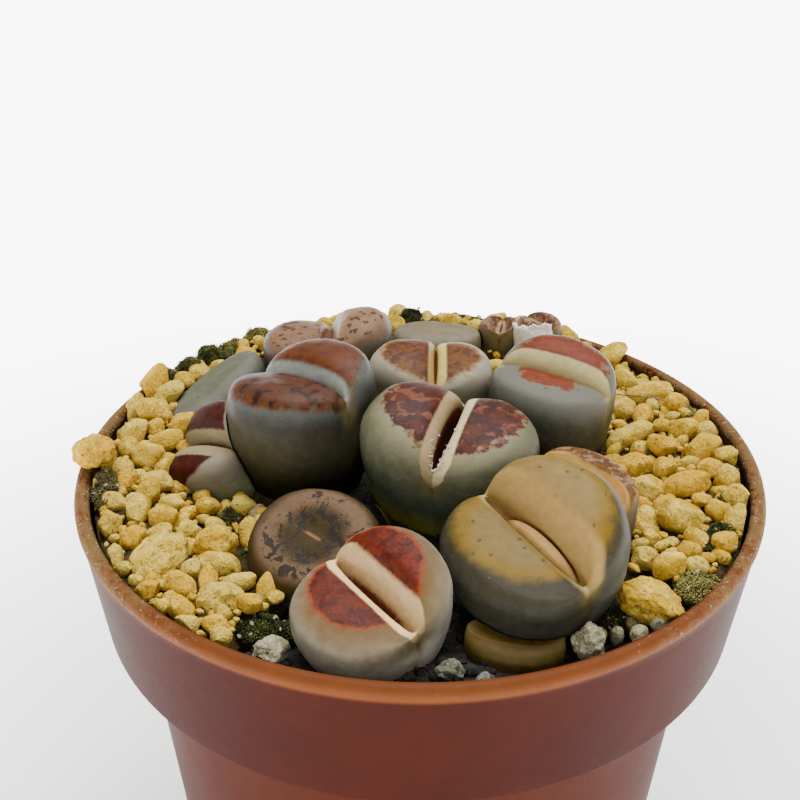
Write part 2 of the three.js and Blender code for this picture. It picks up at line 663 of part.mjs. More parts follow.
const potted = new THREE.Group();
potted.name = "potted_living_stones";

// Adds a piece as a mesh in its own place.
function add(name, solid, place, tint, roughness = 0.7) {
  const material = new THREE.MeshStandardMaterial({ color: tint, roughness, metalness: 0 });
  const mesh = new THREE.Mesh(geometryOf(solid, place), material);
  mesh.name = name;
  mesh.position.set(...place);
  potted.add(mesh);
}

const newLeaves = newLeavesSolid();
const sheath = sheathSolid(BODIES[SHEATH.host]);

// Bodies, each cut back where it is pressed, and the tan one hollowed for its new leaves.
for (const [name, body] of Object.entries(BODIES)) {
  let solid = bodySolid(body);
  for (const [, firmer] of PRESSED.filter(([softer]) => softer === name)) {
    solid = solid.subtract(bodySolid(BODIES[firmer], GAP));
  }
  if (name === NEW_LEAVES.host) {
    solid = solid.subtract(newLeavesSolid(GAP));
  }
  add(name, largest(solid), body.at, body.tint, 0.55);
}
add("new_leaf_pair", newLeaves, BODIES[NEW_LEAVES.host].at, TINTS.leaves, 0.45);
add("dry_leaf_sheath", sheath, BODIES[SHEATH.host].at, TINTS.sheath, 0.8);

for (const [name, stone] of Object.entries(STONES)) {
  add(name, stoneSolid(stone), stone.at, stone.tint, 0.9);
}

// Everything that stands in the soil and grit, with its clearance, as one cutter.
const standing = wasm.Manifold.union([
  ...Object.values(BODIES).map((body) => bodySolid(body, GAP)),
  ...Object.values(STONES).map((stone) => stoneSolid(stone, GAP)),
]);
const sheathRoom = bodySolid(BODIES[SHEATH.host], SHEATH.outside + GAP);
const mossRoom = wasm.Manifold.union(Object.values(MOSS).map((cushion) => mossSolid(cushion, GAP)));
const room = insideSolid(POT.height * 1.2);

for (const [name, cushion] of Object.entries(MOSS)) {
  add(name, largest(mossSolid(cushion).subtract(standing).intersect(room)), cushion.at, TINTS.moss, 1);
}
const filled = wasm.Manifold.union([standing, sheathRoom, mossRoom]);
const grit = largest(gritSolid().intersect(room).subtract(filled));
const soil = largest(soilSolid().subtract(filled));
add("yellow_grit", grit, [0, 0, GRIT.level], TINTS.grit, 0.95);
add("potting_soil", soil, [0, 0, SOIL.level], TINTS.soil, 1);
add("pot", potSolid(), [0, 0, 0], TINTS.pot, 0.45);

export default potted;
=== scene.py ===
"""Potted living stones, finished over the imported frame.

Sizes are millimetres until a mesh is made. +Z is up and the viewer is on the -Y side.
"""

import functools
import logging
import math
from dataclasses import dataclass, field, replace
from enum import Enum
from typing import Callable

import bpy
import numpy as np
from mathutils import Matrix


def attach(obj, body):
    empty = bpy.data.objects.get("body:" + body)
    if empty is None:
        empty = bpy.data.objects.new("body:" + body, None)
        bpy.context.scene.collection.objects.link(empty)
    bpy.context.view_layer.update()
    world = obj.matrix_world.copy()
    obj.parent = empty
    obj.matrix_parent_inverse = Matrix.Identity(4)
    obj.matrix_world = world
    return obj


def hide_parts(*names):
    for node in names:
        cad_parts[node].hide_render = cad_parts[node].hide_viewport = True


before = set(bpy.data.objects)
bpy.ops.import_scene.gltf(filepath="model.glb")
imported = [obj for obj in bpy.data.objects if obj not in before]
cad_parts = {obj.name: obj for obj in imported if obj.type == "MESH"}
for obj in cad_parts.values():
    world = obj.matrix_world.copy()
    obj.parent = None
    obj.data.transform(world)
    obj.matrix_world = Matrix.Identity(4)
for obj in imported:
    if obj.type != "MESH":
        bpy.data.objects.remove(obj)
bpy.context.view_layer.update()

log = logging.getLogger("potted_living_stones")

Colour = tuple[float, float, float]
Triple = tuple[float, float, float]

# The golden angle, a millimetre in metres, the gap kept between bodies, and a direction that no path follows.
GOLDEN = math.pi * (3 - math.sqrt(5))
METRES = 0.001
GAP = 0.3
OBLIQUE = (0.31, 0.17, 0.94)


def tone(code: str) -> Colour:
    """A linear colour from its six hexadecimal digits."""
    shares = [int(code[k : k + 2], 16) / 255 for k in (0, 2, 4)]
    return tuple(s / 12.92 if s <= 0.04045 else ((s + 0.055) / 1.055) ** 2.4 for s in shares)


# Numbers and shapes


def draw(i: np.ndarray | float, k: np.ndarray | float) -> np.ndarray | float:
    """A repeatable draw from 0 to 1: the fraction of a very steep sine of the two numbers."""
    wave = np.sin(np.asarray(i) * 12.9898 + np.asarray(k) * 78.233) * 43758.5453
    return wave - np.floor(wave)


def shaken(i: np.ndarray, *seeds: np.ndarray | float) -> np.ndarray:
    """Repeatable vectors whose numbers run from -0.5 to 0.5, each drawn with a seed of its own."""
    return np.stack([draw(i, k) for k in seeds], axis=-1) - 0.5


def unit(vectors: np.ndarray) -> np.ndarray:
    """Vectors drawn out or in to a length of one."""
    return vectors / np.linalg.norm(vectors, axis=-1, keepdims=True)


def polar(radius: np.ndarray | float, angle: np.ndarray, height: np.ndarray | float) -> np.ndarray:
    """Places at a radius from +Z, an angle about it in radians, and a height."""
    return np.stack(np.broadcast_arrays(radius * np.cos(angle), radius * np.sin(angle), height), axis=-1)


def smooth(value: np.ndarray, low: float, high: float) -> np.ndarray:
    """Rises from 0 at low to 1 at high along 3t^2 - 2t^3."""
    t = np.clip((value - low) / (high - low), 0, 1)
    return t * t * (3 - 2 * t)


def noise(points: np.ndarray, seed: float) -> np.ndarray:
    """Soft noise from 0 to 1: draws at the corners of a unit lattice, blended along 3t^2 - 2t^3.

    Args:
        points: Places, with x, y and z last.
        seed: Picks the pattern.

    Returns:
        One value a place.
    """
    base = np.floor(points)
    part = points - base
    part = part * part * (3 - 2 * part)
    total = np.zeros(points.shape[:-1])
    for corner in np.ndindex(2, 2, 2):
        at = base + corner
        weight = np.prod(np.where(np.array(corner) == 1, part, 1 - part), axis=-1)
        total += weight * draw(at[..., 0] + 57.31 * at[..., 1], at[..., 2] + seed * 3.7)
    return total


def fractal(points: np.ndarray, seed: float, octaves: int = 3) -> np.ndarray:
    """Noise from about -1 to 1: each octave is twice as fine and half as strong as the last."""
    layers = [(2 * noise(points * 2**k, seed + k) - 1) / 2**k for k in range(octaves)]
    return sum(layers)


def turned(points: np.ndarray, degrees: np.ndarray | float) -> np.ndarray:
    """Points turned about +Z.

    Args:
        points: Places, with x, y and z last.
        degrees: The turn, one for all or one a point.

    Returns:
        The places after the turn.
    """
    angle = np.radians(degrees)
    x, y, z = points[..., 0], points[..., 1], points[..., 2]
    c, s = np.cos(angle), np.sin(angle)
    return np.stack([c * x - s * y, s * x + c * y, z + 0 * c], axis=-1)


def leaned(points: np.ndarray, degrees: float, toward: float) -> np.ndarray:
    """Points tipped about a level line through the origin, so that what is above it moves to an azimuth.

    Args:
        points: Places, with x, y and z last.
        degrees: The tilt.
        toward: The azimuth that the top moves to.

    Returns:
        The places after the tilt.
    """
    back = turned(points, -toward)
    angle = np.radians(degrees)
    x = back[..., 0] * np.cos(angle) + back[..., 2] * np.sin(angle)
    z = back[..., 2] * np.cos(angle) - back[..., 0] * np.sin(angle)
    return turned(np.stack([x, back[..., 1], z], axis=-1), toward)


def grid_faces(rows: int, columns: int) -> np.ndarray:
    """The four corners of each cell of a grid of points counted row by row."""
    first = (np.arange(rows - 1)[:, None] * columns + np.arange(columns - 1)).ravel()
    return np.stack([first, first + columns, first + columns + 1, first + 1], axis=1)


def triangles(quads: np.ndarray) -> np.ndarray:
    """Each quad as two triangles."""
    return np.concatenate([quads[:, [0, 1, 2]], quads[:, [0, 2, 3]]])


@functools.cache
def ball(level: int) -> tuple[np.ndarray, np.ndarray]:
    """A unit ball: an icosahedron whose triangles are cut in four as often as the level says.

    Args:
        level: How often the triangles are cut.

    Returns:
        Places and faces.
    """
    g = (1 + 5**0.5) / 2
    points = np.array(
        [[-1, g, 0], [1, g, 0], [-1, -g, 0], [1, -g, 0], [0, -1, g], [0, 1, g],
         [0, -1, -g], [0, 1, -g], [g, 0, -1], [g, 0, 1], [-g, 0, -1], [-g, 0, 1]]
    )  # fmt: skip
    points = points / np.linalg.norm(points[0])
    faces = np.array(
        [[0, 11, 5], [0, 5, 1], [0, 1, 7], [0, 7, 10], [0, 10, 11], [1, 5, 9], [5, 11, 4],
         [11, 10, 2], [10, 7, 6], [7, 1, 8], [3, 9, 4], [3, 4, 2], [3, 2, 6], [3, 6, 8],
         [3, 8, 9], [4, 9, 5], [2, 4, 11], [6, 2, 10], [8, 6, 7], [9, 8, 1]]
    )  # fmt: skip
    for _ in range(level):
        edges = np.sort(np.concatenate([faces[:, [0, 1]], faces[:, [1, 2]], faces[:, [2, 0]]]), axis=1)
        pairs, which = np.unique(edges, axis=0, return_inverse=True)
        middle = unit(points[pairs].sum(axis=1))
        ab, bc, ca = (which.ravel() + len(points)).reshape(3, -1)
        a, b, c = faces.T
        points = np.concatenate([points, middle])
        faces = np.concatenate([np.stack(f, 1) for f in ((a, ab, ca), (ab, b, bc), (ca, bc, c), (ab, bc, ca))])
    return points, faces


@dataclass
class Shape:
    """A surface: points in millimetres, triangles, and named values at each point."""

    points: np.ndarray
    faces: np.ndarray
    values: dict[str, np.ndarray] = field(default_factory=dict)

    @staticmethod
    def of_grid(grid: np.ndarray, **values: np.ndarray) -> "Shape":
        """A surface over a grid of places, row by row.

        Args:
            grid: Places by row and column.
            values: Values by name, one a place or a row.

        Returns:
            The surface.
        """
        rows, columns = grid.shape[:2]
        flat = {name: np.broadcast_to(v, (rows, columns)).ravel() for name, v in values.items()}
        return Shape(grid.reshape(-1, 3), triangles(grid_faces(rows, columns)), flat)

    @staticmethod
    def of_copies(points: np.ndarray, faces: np.ndarray, **values: np.ndarray) -> "Shape":
        """Copies of one net of faces over points counted copy by copy, with one value a copy.

        Args:
            points: Places by copy and corner.
            faces: The faces of one copy.
            values: Values by name, one a copy.

        Returns:
            The surface.
        """
        copies, corners = points.shape[:2]
        offset = np.arange(copies)[:, None, None] * corners
        flat = {name: np.repeat(v, corners) for name, v in values.items()}
        return Shape(points.reshape(-1, 3), (faces[None] + offset).reshape(-1, 3), flat)

    @staticmethod
    def joined(*shapes: "Shape") -> "Shape":
        """Several surfaces as one.

        Args:
            shapes: The surfaces, each with the first one's values.

        Returns:
            The one surface.
        """
        starts = np.cumsum([0] + [len(s.points) for s in shapes[:-1]])
        names = shapes[0].values
        return Shape(
            np.concatenate([s.points for s in shapes]),
            np.concatenate([s.faces + start for s, start in zip(shapes, starts)]),
            {name: np.concatenate([s.values[name] for s in shapes]) for name in names},
        )

    def welded(self) -> "Shape":
        """The closed surface with points at one place merged, collapsed faces left out, and faces outwards.

        Returns:
            The surface without seams.
        """
        keys = np.round(self.points, 4)
        _, first, which = np.unique(keys, axis=0, return_index=True, return_inverse=True)
        faces = which.ravel()[self.faces]
        a, b, c = faces.T
        kept = faces[(a != b) & (b != c) & (c != a)]
        points = self.points[first]
        a, b, c = points[kept.T]
        volume = np.einsum("ij,ij->", a - points[0], np.cross(b - points[0], c - points[0]))
        kept = kept if volume > 0 else kept[:, ::-1]
        return Shape(points, kept, {name: v[first] for name, v in self.values.items()})

    def normals(self) -> np.ndarray:
        """The direction out of the surface at each point, from the faces round it.

        Returns:
            One direction of length one a point.
        """
        corners = self.points[self.faces]
        normal = np.cross(corners[:, 1] - corners[:, 0], corners[:, 2] - corners[:, 0])
        total = np.zeros_like(self.points)
        for k in range(3):
            np.add.at(total, self.faces[:, k], normal)
        return total / np.maximum(np.linalg.norm(total, axis=1, keepdims=True), 1e-12)

    def swollen(self, amount: np.ndarray) -> "Shape":
        """The surface moved along its normals by an amount a point."""
        return replace(self, points=self.points + self.normals() * amount[:, None])

    def object(self, name: str, crease: float = 180) -> bpy.types.Object:
        """A Blender object of the surface, at the origin.

        Args:
            name: The object's name.
            crease: Degrees between faces from which their edge stays sharp.

        Returns:
            The object, linked to the scene.
        """
        mesh = bpy.data.meshes.new(name)
        mesh.vertices.add(len(self.points))
        mesh.vertices.foreach_set("co", np.ascontiguousarray(self.points * METRES, np.float32).ravel())
        mesh.loops.add(self.faces.size)
        mesh.loops.foreach_set("vertex_index", np.ascontiguousarray(self.faces, np.int32).ravel())
        mesh.polygons.add(len(self.faces))
        mesh.polygons.foreach_set("loop_start", np.arange(0, self.faces.size, 3, dtype=np.int32))
        mesh.update(calc_edges=True)
        for title, values in self.values.items():
            layer = mesh.attributes.new(title, "FLOAT", "POINT")
            layer.data.foreach_set("value", np.ascontiguousarray(values, np.float32))
        mesh.shade_smooth()
        if crease < 180:
            mesh.set_sharp_from_angle(angle=math.radians(crease))
        made = bpy.data.objects.new(name, mesh)
        bpy.context.scene.collection.objects.link(made)
        return made


def section_curve(stations: np.ndarray, scale: np.ndarray, count: int) -> np.ndarray:
    """A smooth curve through stations, more closely sampled where they are close.

    Between two stations it is the cubic whose slope at each is the mean of the slopes to its neighbours,
    weighted by their distances.

    Args:
        stations: One row of numbers a station.
        scale: What each number is worth as a distance.
        count: How many samples to take.

    Returns:
        One row a sample, and each sample's place counted in stations as the last number.
    """
    step = np.linalg.norm(np.diff(stations * scale, axis=0), axis=1)
    place = np.concatenate([[0], np.cumsum(step)])
    slope = np.diff(stations, axis=0) / step[:, None]
    inner = (slope[1:] * step[:-1, None] + slope[:-1] * step[1:, None]) / (step[:-1] + step[1:])[:, None]
    slopes = np.concatenate([slope[:1], inner, slope[-1:]])
    order = np.arange(len(stations))
    evenly = 0.6 * place / place[-1] + 0.4 * order / order[-1]
    at = np.interp(np.linspace(0, 1, count), evenly, place)
    k = np.clip(np.searchsorted(place, at, side="right") - 1, 0, len(step) - 1)
    h = step[k][:, None]
    t = ((at - place[k])[:, None]) / h
    curve = (
        (2 * t**3 - 3 * t**2 + 1) * stations[k]
        + (t**3 - 2 * t**2 + t) * h * slopes[k]
        + (3 * t**2 - 2 * t**3) * stations[k + 1]
        + (t**3 - t**2) * h * slopes[k + 1]
    )
    return np.concatenate([curve, k[:, None] + t], axis=1)


def tube(path: np.ndarray, radius: np.ndarray, sides: int = 5) -> Shape:
    """A round tube along a path: each point's ring stands square to the path, and the ends are drawn shut.

    Args:
        path: The middles of the rings.
        radius: One radius a ring.
        sides: Corners of a ring.

    Returns:
        The closed tube.
    """
    along = unit(np.gradient(path, axis=0))
    across = unit(np.cross(along, OBLIQUE))
    up = np.cross(along, across)
    angle = np.linspace(0, 2 * np.pi, sides + 1)[None, :, None]
    ring = across[:, None] * np.cos(angle) + up[:, None] * np.sin(angle)
    width = radius[:, None, None] * np.ones((len(path), 1, 1))
    width[[0, -1]] = 0
    return Shape.of_grid(path[:, None] + ring * width).welded()


# Materials


class Value:
    """A number on a shader. Arithmetic on it adds Math nodes."""

    def __init__(self, shader: "Shader", socket: bpy.types.NodeSocket) -> None:
        """Wraps an output socket of a shader's node."""
        self.shader = shader
        self.socket = socket

    def maths(self, operation: str, *others: "Value | float") -> "Value":
        """A Math node on this value and others."""
        node = self.shader.node("ShaderNodeMath", {"operation": operation}, dict(enumerate((self, *others))))
        return Value(self.shader, node.outputs[0])

    def __add__(self, other: "Value | float") -> "Value":
        """The sum."""
        return self.maths("ADD", other)

    def __mul__(self, other: "Value | float") -> "Value":
        """The product."""
        return self.maths("MULTIPLY", other)

    def __sub__(self, other: "Value | float") -> "Value":
        """The difference."""
        return self.maths("SUBTRACT", other)

    def __abs__(self) -> "Value":
        """The size without its sign."""
        return self.maths("ABSOLUTE")

    def over(self, low: float, high: float) -> "Value":
        """Rises smoothly from 0 at low to 1 at high, or falls if high is the lower.

        Args:
            low: Where it is 0.
            high: Where it is 1.

        Returns:
            The share from 0 to 1.
        """
        flip = high < low
        ends = (high, low) if flip else (low, high)
        node = self.shader.node(
            "ShaderNodeMapRange",
            {"interpolation_type": "SMOOTHSTEP"},
            {0: self, 1: ends[0], 2: ends[1], 3: 1.0 if flip else 0.0, 4: 0.0 if flip else 1.0},
        )
        return Value(self.shader, node.outputs[0])


Paint = "Colour | bpy.types.NodeSocket"


class Shader:
    """A node material in the making."""

    def __init__(self, name: str) -> None:
        """Starts a material with nothing but its millimetre coordinates.

        Args:
            name: The material's name.
        """
        self.material = bpy.data.materials.new(name)
        self.material.use_nodes = True
        self.tree = self.material.node_tree
        self.tree.nodes.clear()
        place = self.node("ShaderNodeTexCoord", {}, {}).outputs["Object"]
        self.place = self.scaled(place, 1 / METRES)

    def node(self, kind: str, settings: dict, sockets: dict) -> bpy.types.Node:
        """Adds a node.

        Args:
            kind: The node's type.
            settings: Its settings by name.
            sockets: A value, colour or link for each of its inputs, by name or number.

        Returns:
            The node.
        """
        made = self.tree.nodes.new(kind)
        for title, setting in settings.items():
            setattr(made, title, setting)
        for title, given in sockets.items():
            socket = made.inputs[title]
            if isinstance(given, Value):
                self.tree.links.new(given.socket, socket)
            elif isinstance(given, bpy.types.NodeSocket):
                self.tree.links.new(given, socket)
            elif socket.type == "RGBA":
                socket.default_value = (*given, 1.0)
            else:
                socket.default_value = given
        return made

    def scaled(self, vector: "Paint", by: Value | float) -> bpy.types.NodeSocket:
        """A vector or a colour times a number."""
        return self.node("ShaderNodeVectorMath", {"operation": "SCALE"}, {0: vector, 3: by}).outputs[0]

    def value(self, name: str) -> Value:
        """One of the mesh's own named values."""
        node = self.node("ShaderNodeAttribute", {"attribute_name": name}, {})
        return Value(self, node.outputs["Fac"])

    def axis(self, name: str) -> Value:
        """A coordinate in millimetres: X, Y or Z."""
        node = self.node("ShaderNodeSeparateXYZ", {}, {0: self.place})
        return Value(self, node.outputs[name])

    def noise(self, scale: float, detail: float = 2, distortion: float = 0, shift: float = 0) -> Value:
        """Noise from 0 to 1 about 0.5, with the given number of lumps a millimetre.

        Args:
            scale: Lumps a millimetre.
            detail: How many finer layers lie on them.
            distortion: How far they are drawn about.
            shift: How far the pattern is moved, so that two differ.

        Returns:
            The noise.
        """
        moved = self.node("ShaderNodeVectorMath", {"operation": "ADD"}, {0: self.place, 1: (shift,) * 3})
        node = self.node(
            "ShaderNodeTexNoise",
            {"noise_dimensions": "3D"},
            {"Vector": moved.outputs[0], "Scale": scale, "Detail": detail, "Distortion": distortion},
        )
        return Value(self, node.outputs["Fac"])

    def cells(self, scale: float, feature: str = "F1", warp: float = 0, shift: float = 0) -> Value:
        """Distance to the nearest cell centre, or cell edge, in cells, with so many cells a millimetre.

        Args:
            scale: Cells a millimetre.
            feature: F1 for the centre or DISTANCE_TO_EDGE.
            warp: How far noise bends the cells, in millimetres.
            shift: How far the pattern is moved, so that two differ.

        Returns:
            The distance.
        """
        place = self.place
        if warp or shift:
            bent = self.node(
                "ShaderNodeTexNoise", {}, {"Vector": self.place, "Scale": scale * 1.7, "Detail": 1.0}
            )
            moved = self.node(
                "ShaderNodeVectorMath",
                {"operation": "MULTIPLY_ADD"},
                {0: bent.outputs["Color"], 1: (warp,) * 3, 2: place},
            )
            added = {0: moved.outputs[0], 1: (shift,) * 3}
            place = self.node("ShaderNodeVectorMath", {"operation": "ADD"}, added).outputs[0]
        node = self.node("ShaderNodeTexVoronoi", {"feature": feature}, {"Vector": place, "Scale": scale})
        return Value(self, node.outputs["Distance"])

    def mix(self, share: Value | float, start: "Paint", end: "Paint", blend: str = "MIX") -> "Paint":
        """A colour between two others, or another blend of them."""
        settings = {"data_type": "RGBA", "blend_type": blend, "clamp_factor": True}
        return self.node("ShaderNodeMix", settings, {0: share, 6: start, 7: end}).outputs[2]

    def breaks(self) -> Value:
        """Where a thin line is broken: stretches of about a millimetre."""
        return self.noise(0.9, 1, shift=37).over(0.46, 0.58)

    def dappled(self, colour: "Paint", spread: float, scale: float, shift: float = 0) -> "Paint":
        """A colour made lighter and darker in patches, by up to the given share each way."""
        patches = self.noise(scale, 3, shift=shift).over(0.3, 0.7) * (2 * spread) + (1 - spread)
        return self.scaled(colour, patches)

    def relief(self, height: Value, depth: float) -> bpy.types.NodeSocket:
        """The normal of a surface with a pattern raised on it, of the given depth in millimetres."""
        sockets = {"Strength": 1.0, "Distance": depth * METRES, "Height": height}
        return self.node("ShaderNodeBump", {}, sockets).outputs[0]

    def done(
        self, colour: "Paint", roughness: Value | float, normal: object = None, **fixed: object
    ) -> bpy.types.Material:
        """Closes the material with one main shader.

        Args:
            colour: The base colour.
            roughness: From 0, a mirror, to 1, chalk.
            normal: The normal, if there is relief.
            fixed: Values that are the same all over, by socket name with _ for a space.

        Returns:
            The material.
        """
        sockets = {"Base Color": colour, "Roughness": roughness}
        if normal is not None:
            sockets["Normal"] = normal
        sockets.update({title.replace("_", " "): given for title, given in fixed.items()})
        shader = self.node("ShaderNodeBsdfPrincipled", {}, sockets)
        self.node("ShaderNodeOutputMaterial", {}, {0: shader.outputs[0]})
        return self.material


class Face(Enum):
    """What a body's face shows."""

    WINDOWS = "windows"
    DOTTED = "dotted"
    SPOTTED = "spotted"
    CRACKED = "cracked"


@dataclass(frozen=True)
class Spot:
    """Where a point of the skin lies; all but left are in millimetres.

    Attributes:
        left: 1 on the left leaf and 0 on the right one.
        past: How far inside the window's outer edge.
        clear: How far from the lip.
        outer: How far inwards from the shoulder.
    """

    left: Value
    past: Value
    clear: Value
    outer: Value


@dataclass(frozen=True)
class Skin:
    """The finish of one body. Pairs are for its left and right leaf.

    Attributes:
        flank, bloom, base: The side's colour, its hazy band under the shoulder, and its foot; they carry painted
            shade toward the foot, and on some bodies painted light on the lower side.
        margin: The face between the shoulder and the window.
        window, island: The window's ground and the patches on it, a pair each.
        edge: The line round the window.
        lip: The band along the fissure.
        cleft: The inside of the fissure: partly its own colour, partly painted shade.
        inset, band: Width of the margin and of the lip, a pair each. A lip below nought is none.
        teeth: How far the window's outer edge wanders.
        patch: Patches a millimetre.
        cover: Share of the window that the patches cover.
        soft: How softly the window's edge fades.
        dip: How far down the fissure its inside colour starts.
        tilt: How much wider the window's outer margin gets toward the near end, a millimetre.
        pale, pales: The paler patches, and the share of the window that they cover.
        dashes: How strong the small dark dashes are.
        fade: How much higher the margin gives way to the flank.
        speck: The dark specks.
        crease: The soft pale line below the fissure's ends.
        face: What the face shows.
        gloss: The roughness.
    """

    flank: str
    bloom: str
    base: str
    margin: str
    window: tuple[str, str]
    island: tuple[str, str]
    edge: str
    lip: tuple[str, str]
    cleft: str
    inset: tuple[float, float] = (1.2, 1.2)
    band: tuple[float, float] = (1.0, 1.0)
    teeth: float = 1.2
    patch: float = 0.8
    cover: float = 0.5
    soft: float = 0.25
    dip: float = 0.9
    tilt: float = 0.0
    pale: str = "8a6a50"
    pales: float = 0.3
    dashes: float = 0.0
    fade: float = 0.0
    speck: str = "30281c"
    crease: str = "6e6238"
    face: Face = Face.WINDOWS
    gloss: float = 0.5

    # Painted shade deep in the fissure.
    FISSURE_SHADE = "150903"
    GLINT = "d8d0b8"

    def sided(self, s: Shader, left: Value, pair: tuple[str, str]) -> "Paint":
        """The first colour of a pair on the left leaf and the second on the right one."""
        return s.mix(left, tone(pair[1]), tone(pair[0]))

    def material(self, name: str) -> bpy.types.Material:
        """The body's material.

        The mesh carries how far each point is from the fissure (inner), inwards from the shoulder (outer),
        below the crest (depth) and toward the body's far end (along), in millimetres, and every mark on the
        skin is set out from these.

        Args:
            name: The material's name.

        Returns:
            The material.
        """
        s = Shader(name)
        inner, outer, depth, along = s.value("inner"), s.value("outer"), s.value("depth"), s.value("along")
        left = inner.over(0.05, -0.05)
        broad, fine, grain = s.noise(0.5, 2, 0.4), s.noise(1.6, 2), s.noise(7, 2)
        wander = (broad - 0.5) * (2 * self.teeth) + (fine - 0.5) * (0.75 * self.teeth)
        drift = (broad - 0.5) * 2.2
        # Down the side: hazy band, flank, then foot, with painted shade toward the foot and, on some bodies, painted
        # light lower down.
        flank = s.mix((outer + drift).over(-0.5, -8), tone(self.bloom), tone(self.flank))
        flank = s.mix((outer + drift).over(-8.0, -15), flank, tone(self.base))
        flank = s.dappled(flank, 0.12, 0.7)
        skin = s.mix((outer + drift - self.fade).over(-4.4, 1.8), flank, tone(self.margin))
        inset = left * (self.inset[0] - self.inset[1]) + self.inset[1]
        band = left * (self.band[0] - self.band[1]) + self.band[1]
        past = outer - inset + wander + along * self.tilt
        reach = outer.over(-1.0, 3.2) * band if min(self.band) > 0 else band
        clear = abs(inner) - reach + (fine - 0.5) * 0.3
        marks = getattr(self, self.face.value)
        skin = marks(s, skin, Spot(left, past, clear, outer))
        lip = self.sided(s, left, self.lip)
        on_lip = clear.over(self.soft, -self.soft) * outer.over(-0.8, 1.4)
        skin = s.mix(on_lip, skin, s.dappled(lip, 0.08, 0.9, 9))
        if min(self.band) > 0:
            crease = abs(inner).over(2.6, 0.3) * outer.over(2.2, 0.2) * outer.over(-5.5, -1.0)
            skin = s.mix(crease * 0.6, skin, tone(self.crease))
            # Painted shadow: a dark line in the cleft colour where the fissure's ends close.
            fissure_shadow_line = abs(inner).over(0.5, 0.1) * outer.over(0.4, -0.4) * outer.over(-4.0, -1.5)
            skin = s.mix(fissure_shadow_line * 0.5, skin, tone(self.cleft))
        # The fissure's inside from the dip down: partly its own colour, partly painted shade.
        skin = s.mix((depth + (fine - 0.5) * 0.5).over(self.dip, self.dip + 0.9), skin, tone(self.cleft))
        # Painted shade: the fissure darkens further down.
        skin = s.mix(depth.over(self.dip + 1.2, self.dip + 2.8) * 0.85, skin, tone(self.FISSURE_SHADE))
        dark = s.cells(1.15, "F1", 0.4, 11).over(0.13, 0.05) * broad.over(0.44, 0.6)
        skin = s.mix(dark * 0.5, skin, tone(self.speck))
        light = s.cells(1.7, "F1", 0.3, 23).over(0.11, 0.05) * fine.over(0.54, 0.64)
        skin = s.mix(light * 0.35, skin, tone(self.GLINT))
        pores = grain * 0.3 + fine * 0.3 + broad * 0.4 - s.cells(2.4).over(0.3, 0.1) * 0.22
        rough = fine * 0.18 + (self.gloss - 0.09)
        return s.done(
            skin,
            rough,
            s.relief(pores, 0.08),
            Subsurface_Weight=0.1,
            Subsurface_Radius=(1.0, 0.55, 0.3),
            Subsurface_Scale=0.001,
            Specular_IOR_Level=0.12,
        )

    def windows(self, s: Shader, skin: "Paint", at: Spot) -> "Paint":
        """Coloured windows with a line round them, patches of two tones, and small dark dashes.

        Args:
            s: The shader.
            skin: The colour so far.
            at: Where a point lies.

        Returns:
            The colour with the windows.
        """
        ground = self.sided(s, at.left, self.window)
        patch = self.sided(s, at.left, self.island)
        step = 0.62 - self.cover * 0.28
        island = s.noise(self.patch, 1.5, 0.5, 7.3).over(step - 0.06, step + 0.06)
        glass = s.mix(island * 0.85, ground, patch)
        step = 0.64 - self.pales * 0.28
        pale = s.noise(self.patch * 1.25, 1.5, 0.4, 31).over(step - 0.05, step + 0.07)
        glass = s.mix(pale * 0.7, glass, tone(self.pale))
        if self.dashes:
            dash = s.cells(1.1, "F1", 1.5, 41).over(0.24, 0.1) * s.noise(0.6, 2, shift=17).over(0.42, 0.56)
            line = s.cells(0.62, "DISTANCE_TO_EDGE", 2.4, 27).over(0.06, 0.015) * s.breaks()
            glass = s.mix(dash * self.dashes, glass, tone(self.speck))
            glass = s.mix(line * self.dashes, glass, tone(self.speck))
        glass = s.dappled(glass, 0.1, 2.2, 3)
        rim = at.past.over(-self.soft - 0.7, -self.soft * 0.3) * at.clear.over(-0.2, 0.3)
        skin = s.mix(rim * 0.8, skin, tone(self.edge))
        return s.mix(at.past.over(-self.soft, self.soft) * at.clear.over(-0.1, 0.35), skin, glass)

    def dotted(self, s: Shader, skin: "Paint", at: Spot) -> "Paint":
        """A plain face in a soft ring, with a few dark dots. The arguments are those of windows.

        Args:
            s: The shader.
            skin: The colour so far.
            at: Where a point lies.

        Returns:
            The colour with the marks.
        """
        ground = self.sided(s, at.left, self.window)
        skin = s.mix(at.past.over(-1.6, 0.8), skin, tone(self.edge))
        skin = s.mix(at.past.over(0.2, 3.4), skin, ground)
        skin = s.dappled(skin, 0.09, 0.6, 4)
        dots = s.cells(0.42, "F1", 1.0, 3).over(0.17, 0.08) * at.outer.over(0.8, 1.8)
        return s.mix(dots * 0.75, skin, tone(self.island[0]))

    def spotted(self, s: Shader, skin: "Paint", at: Spot) -> "Paint":
        """A face strewn with short dark marks. The arguments are those of windows.

        Args:
            s: The shader.
            skin: The colour so far.
            at: Where a point lies.

        Returns:
            The colour with the marks.
        """
        ground = self.sided(s, at.left, self.window)
        face = at.past.over(-2.0, 1.0) * at.clear.over(-0.3, 0.6)
        skin = s.dappled(s.mix(face, skin, ground), 0.1, 0.9, 4)
        marks = s.cells(0.72, "F1", 1.2, 51).over(0.46, 0.3) * s.noise(0.7, 2, shift=19).over(0.36, 0.44)
        marks = marks * at.past.over(-0.4, 0.6) * at.clear.over(0.0, 0.5)
        return s.mix(marks * 0.8, skin, tone(self.speck))

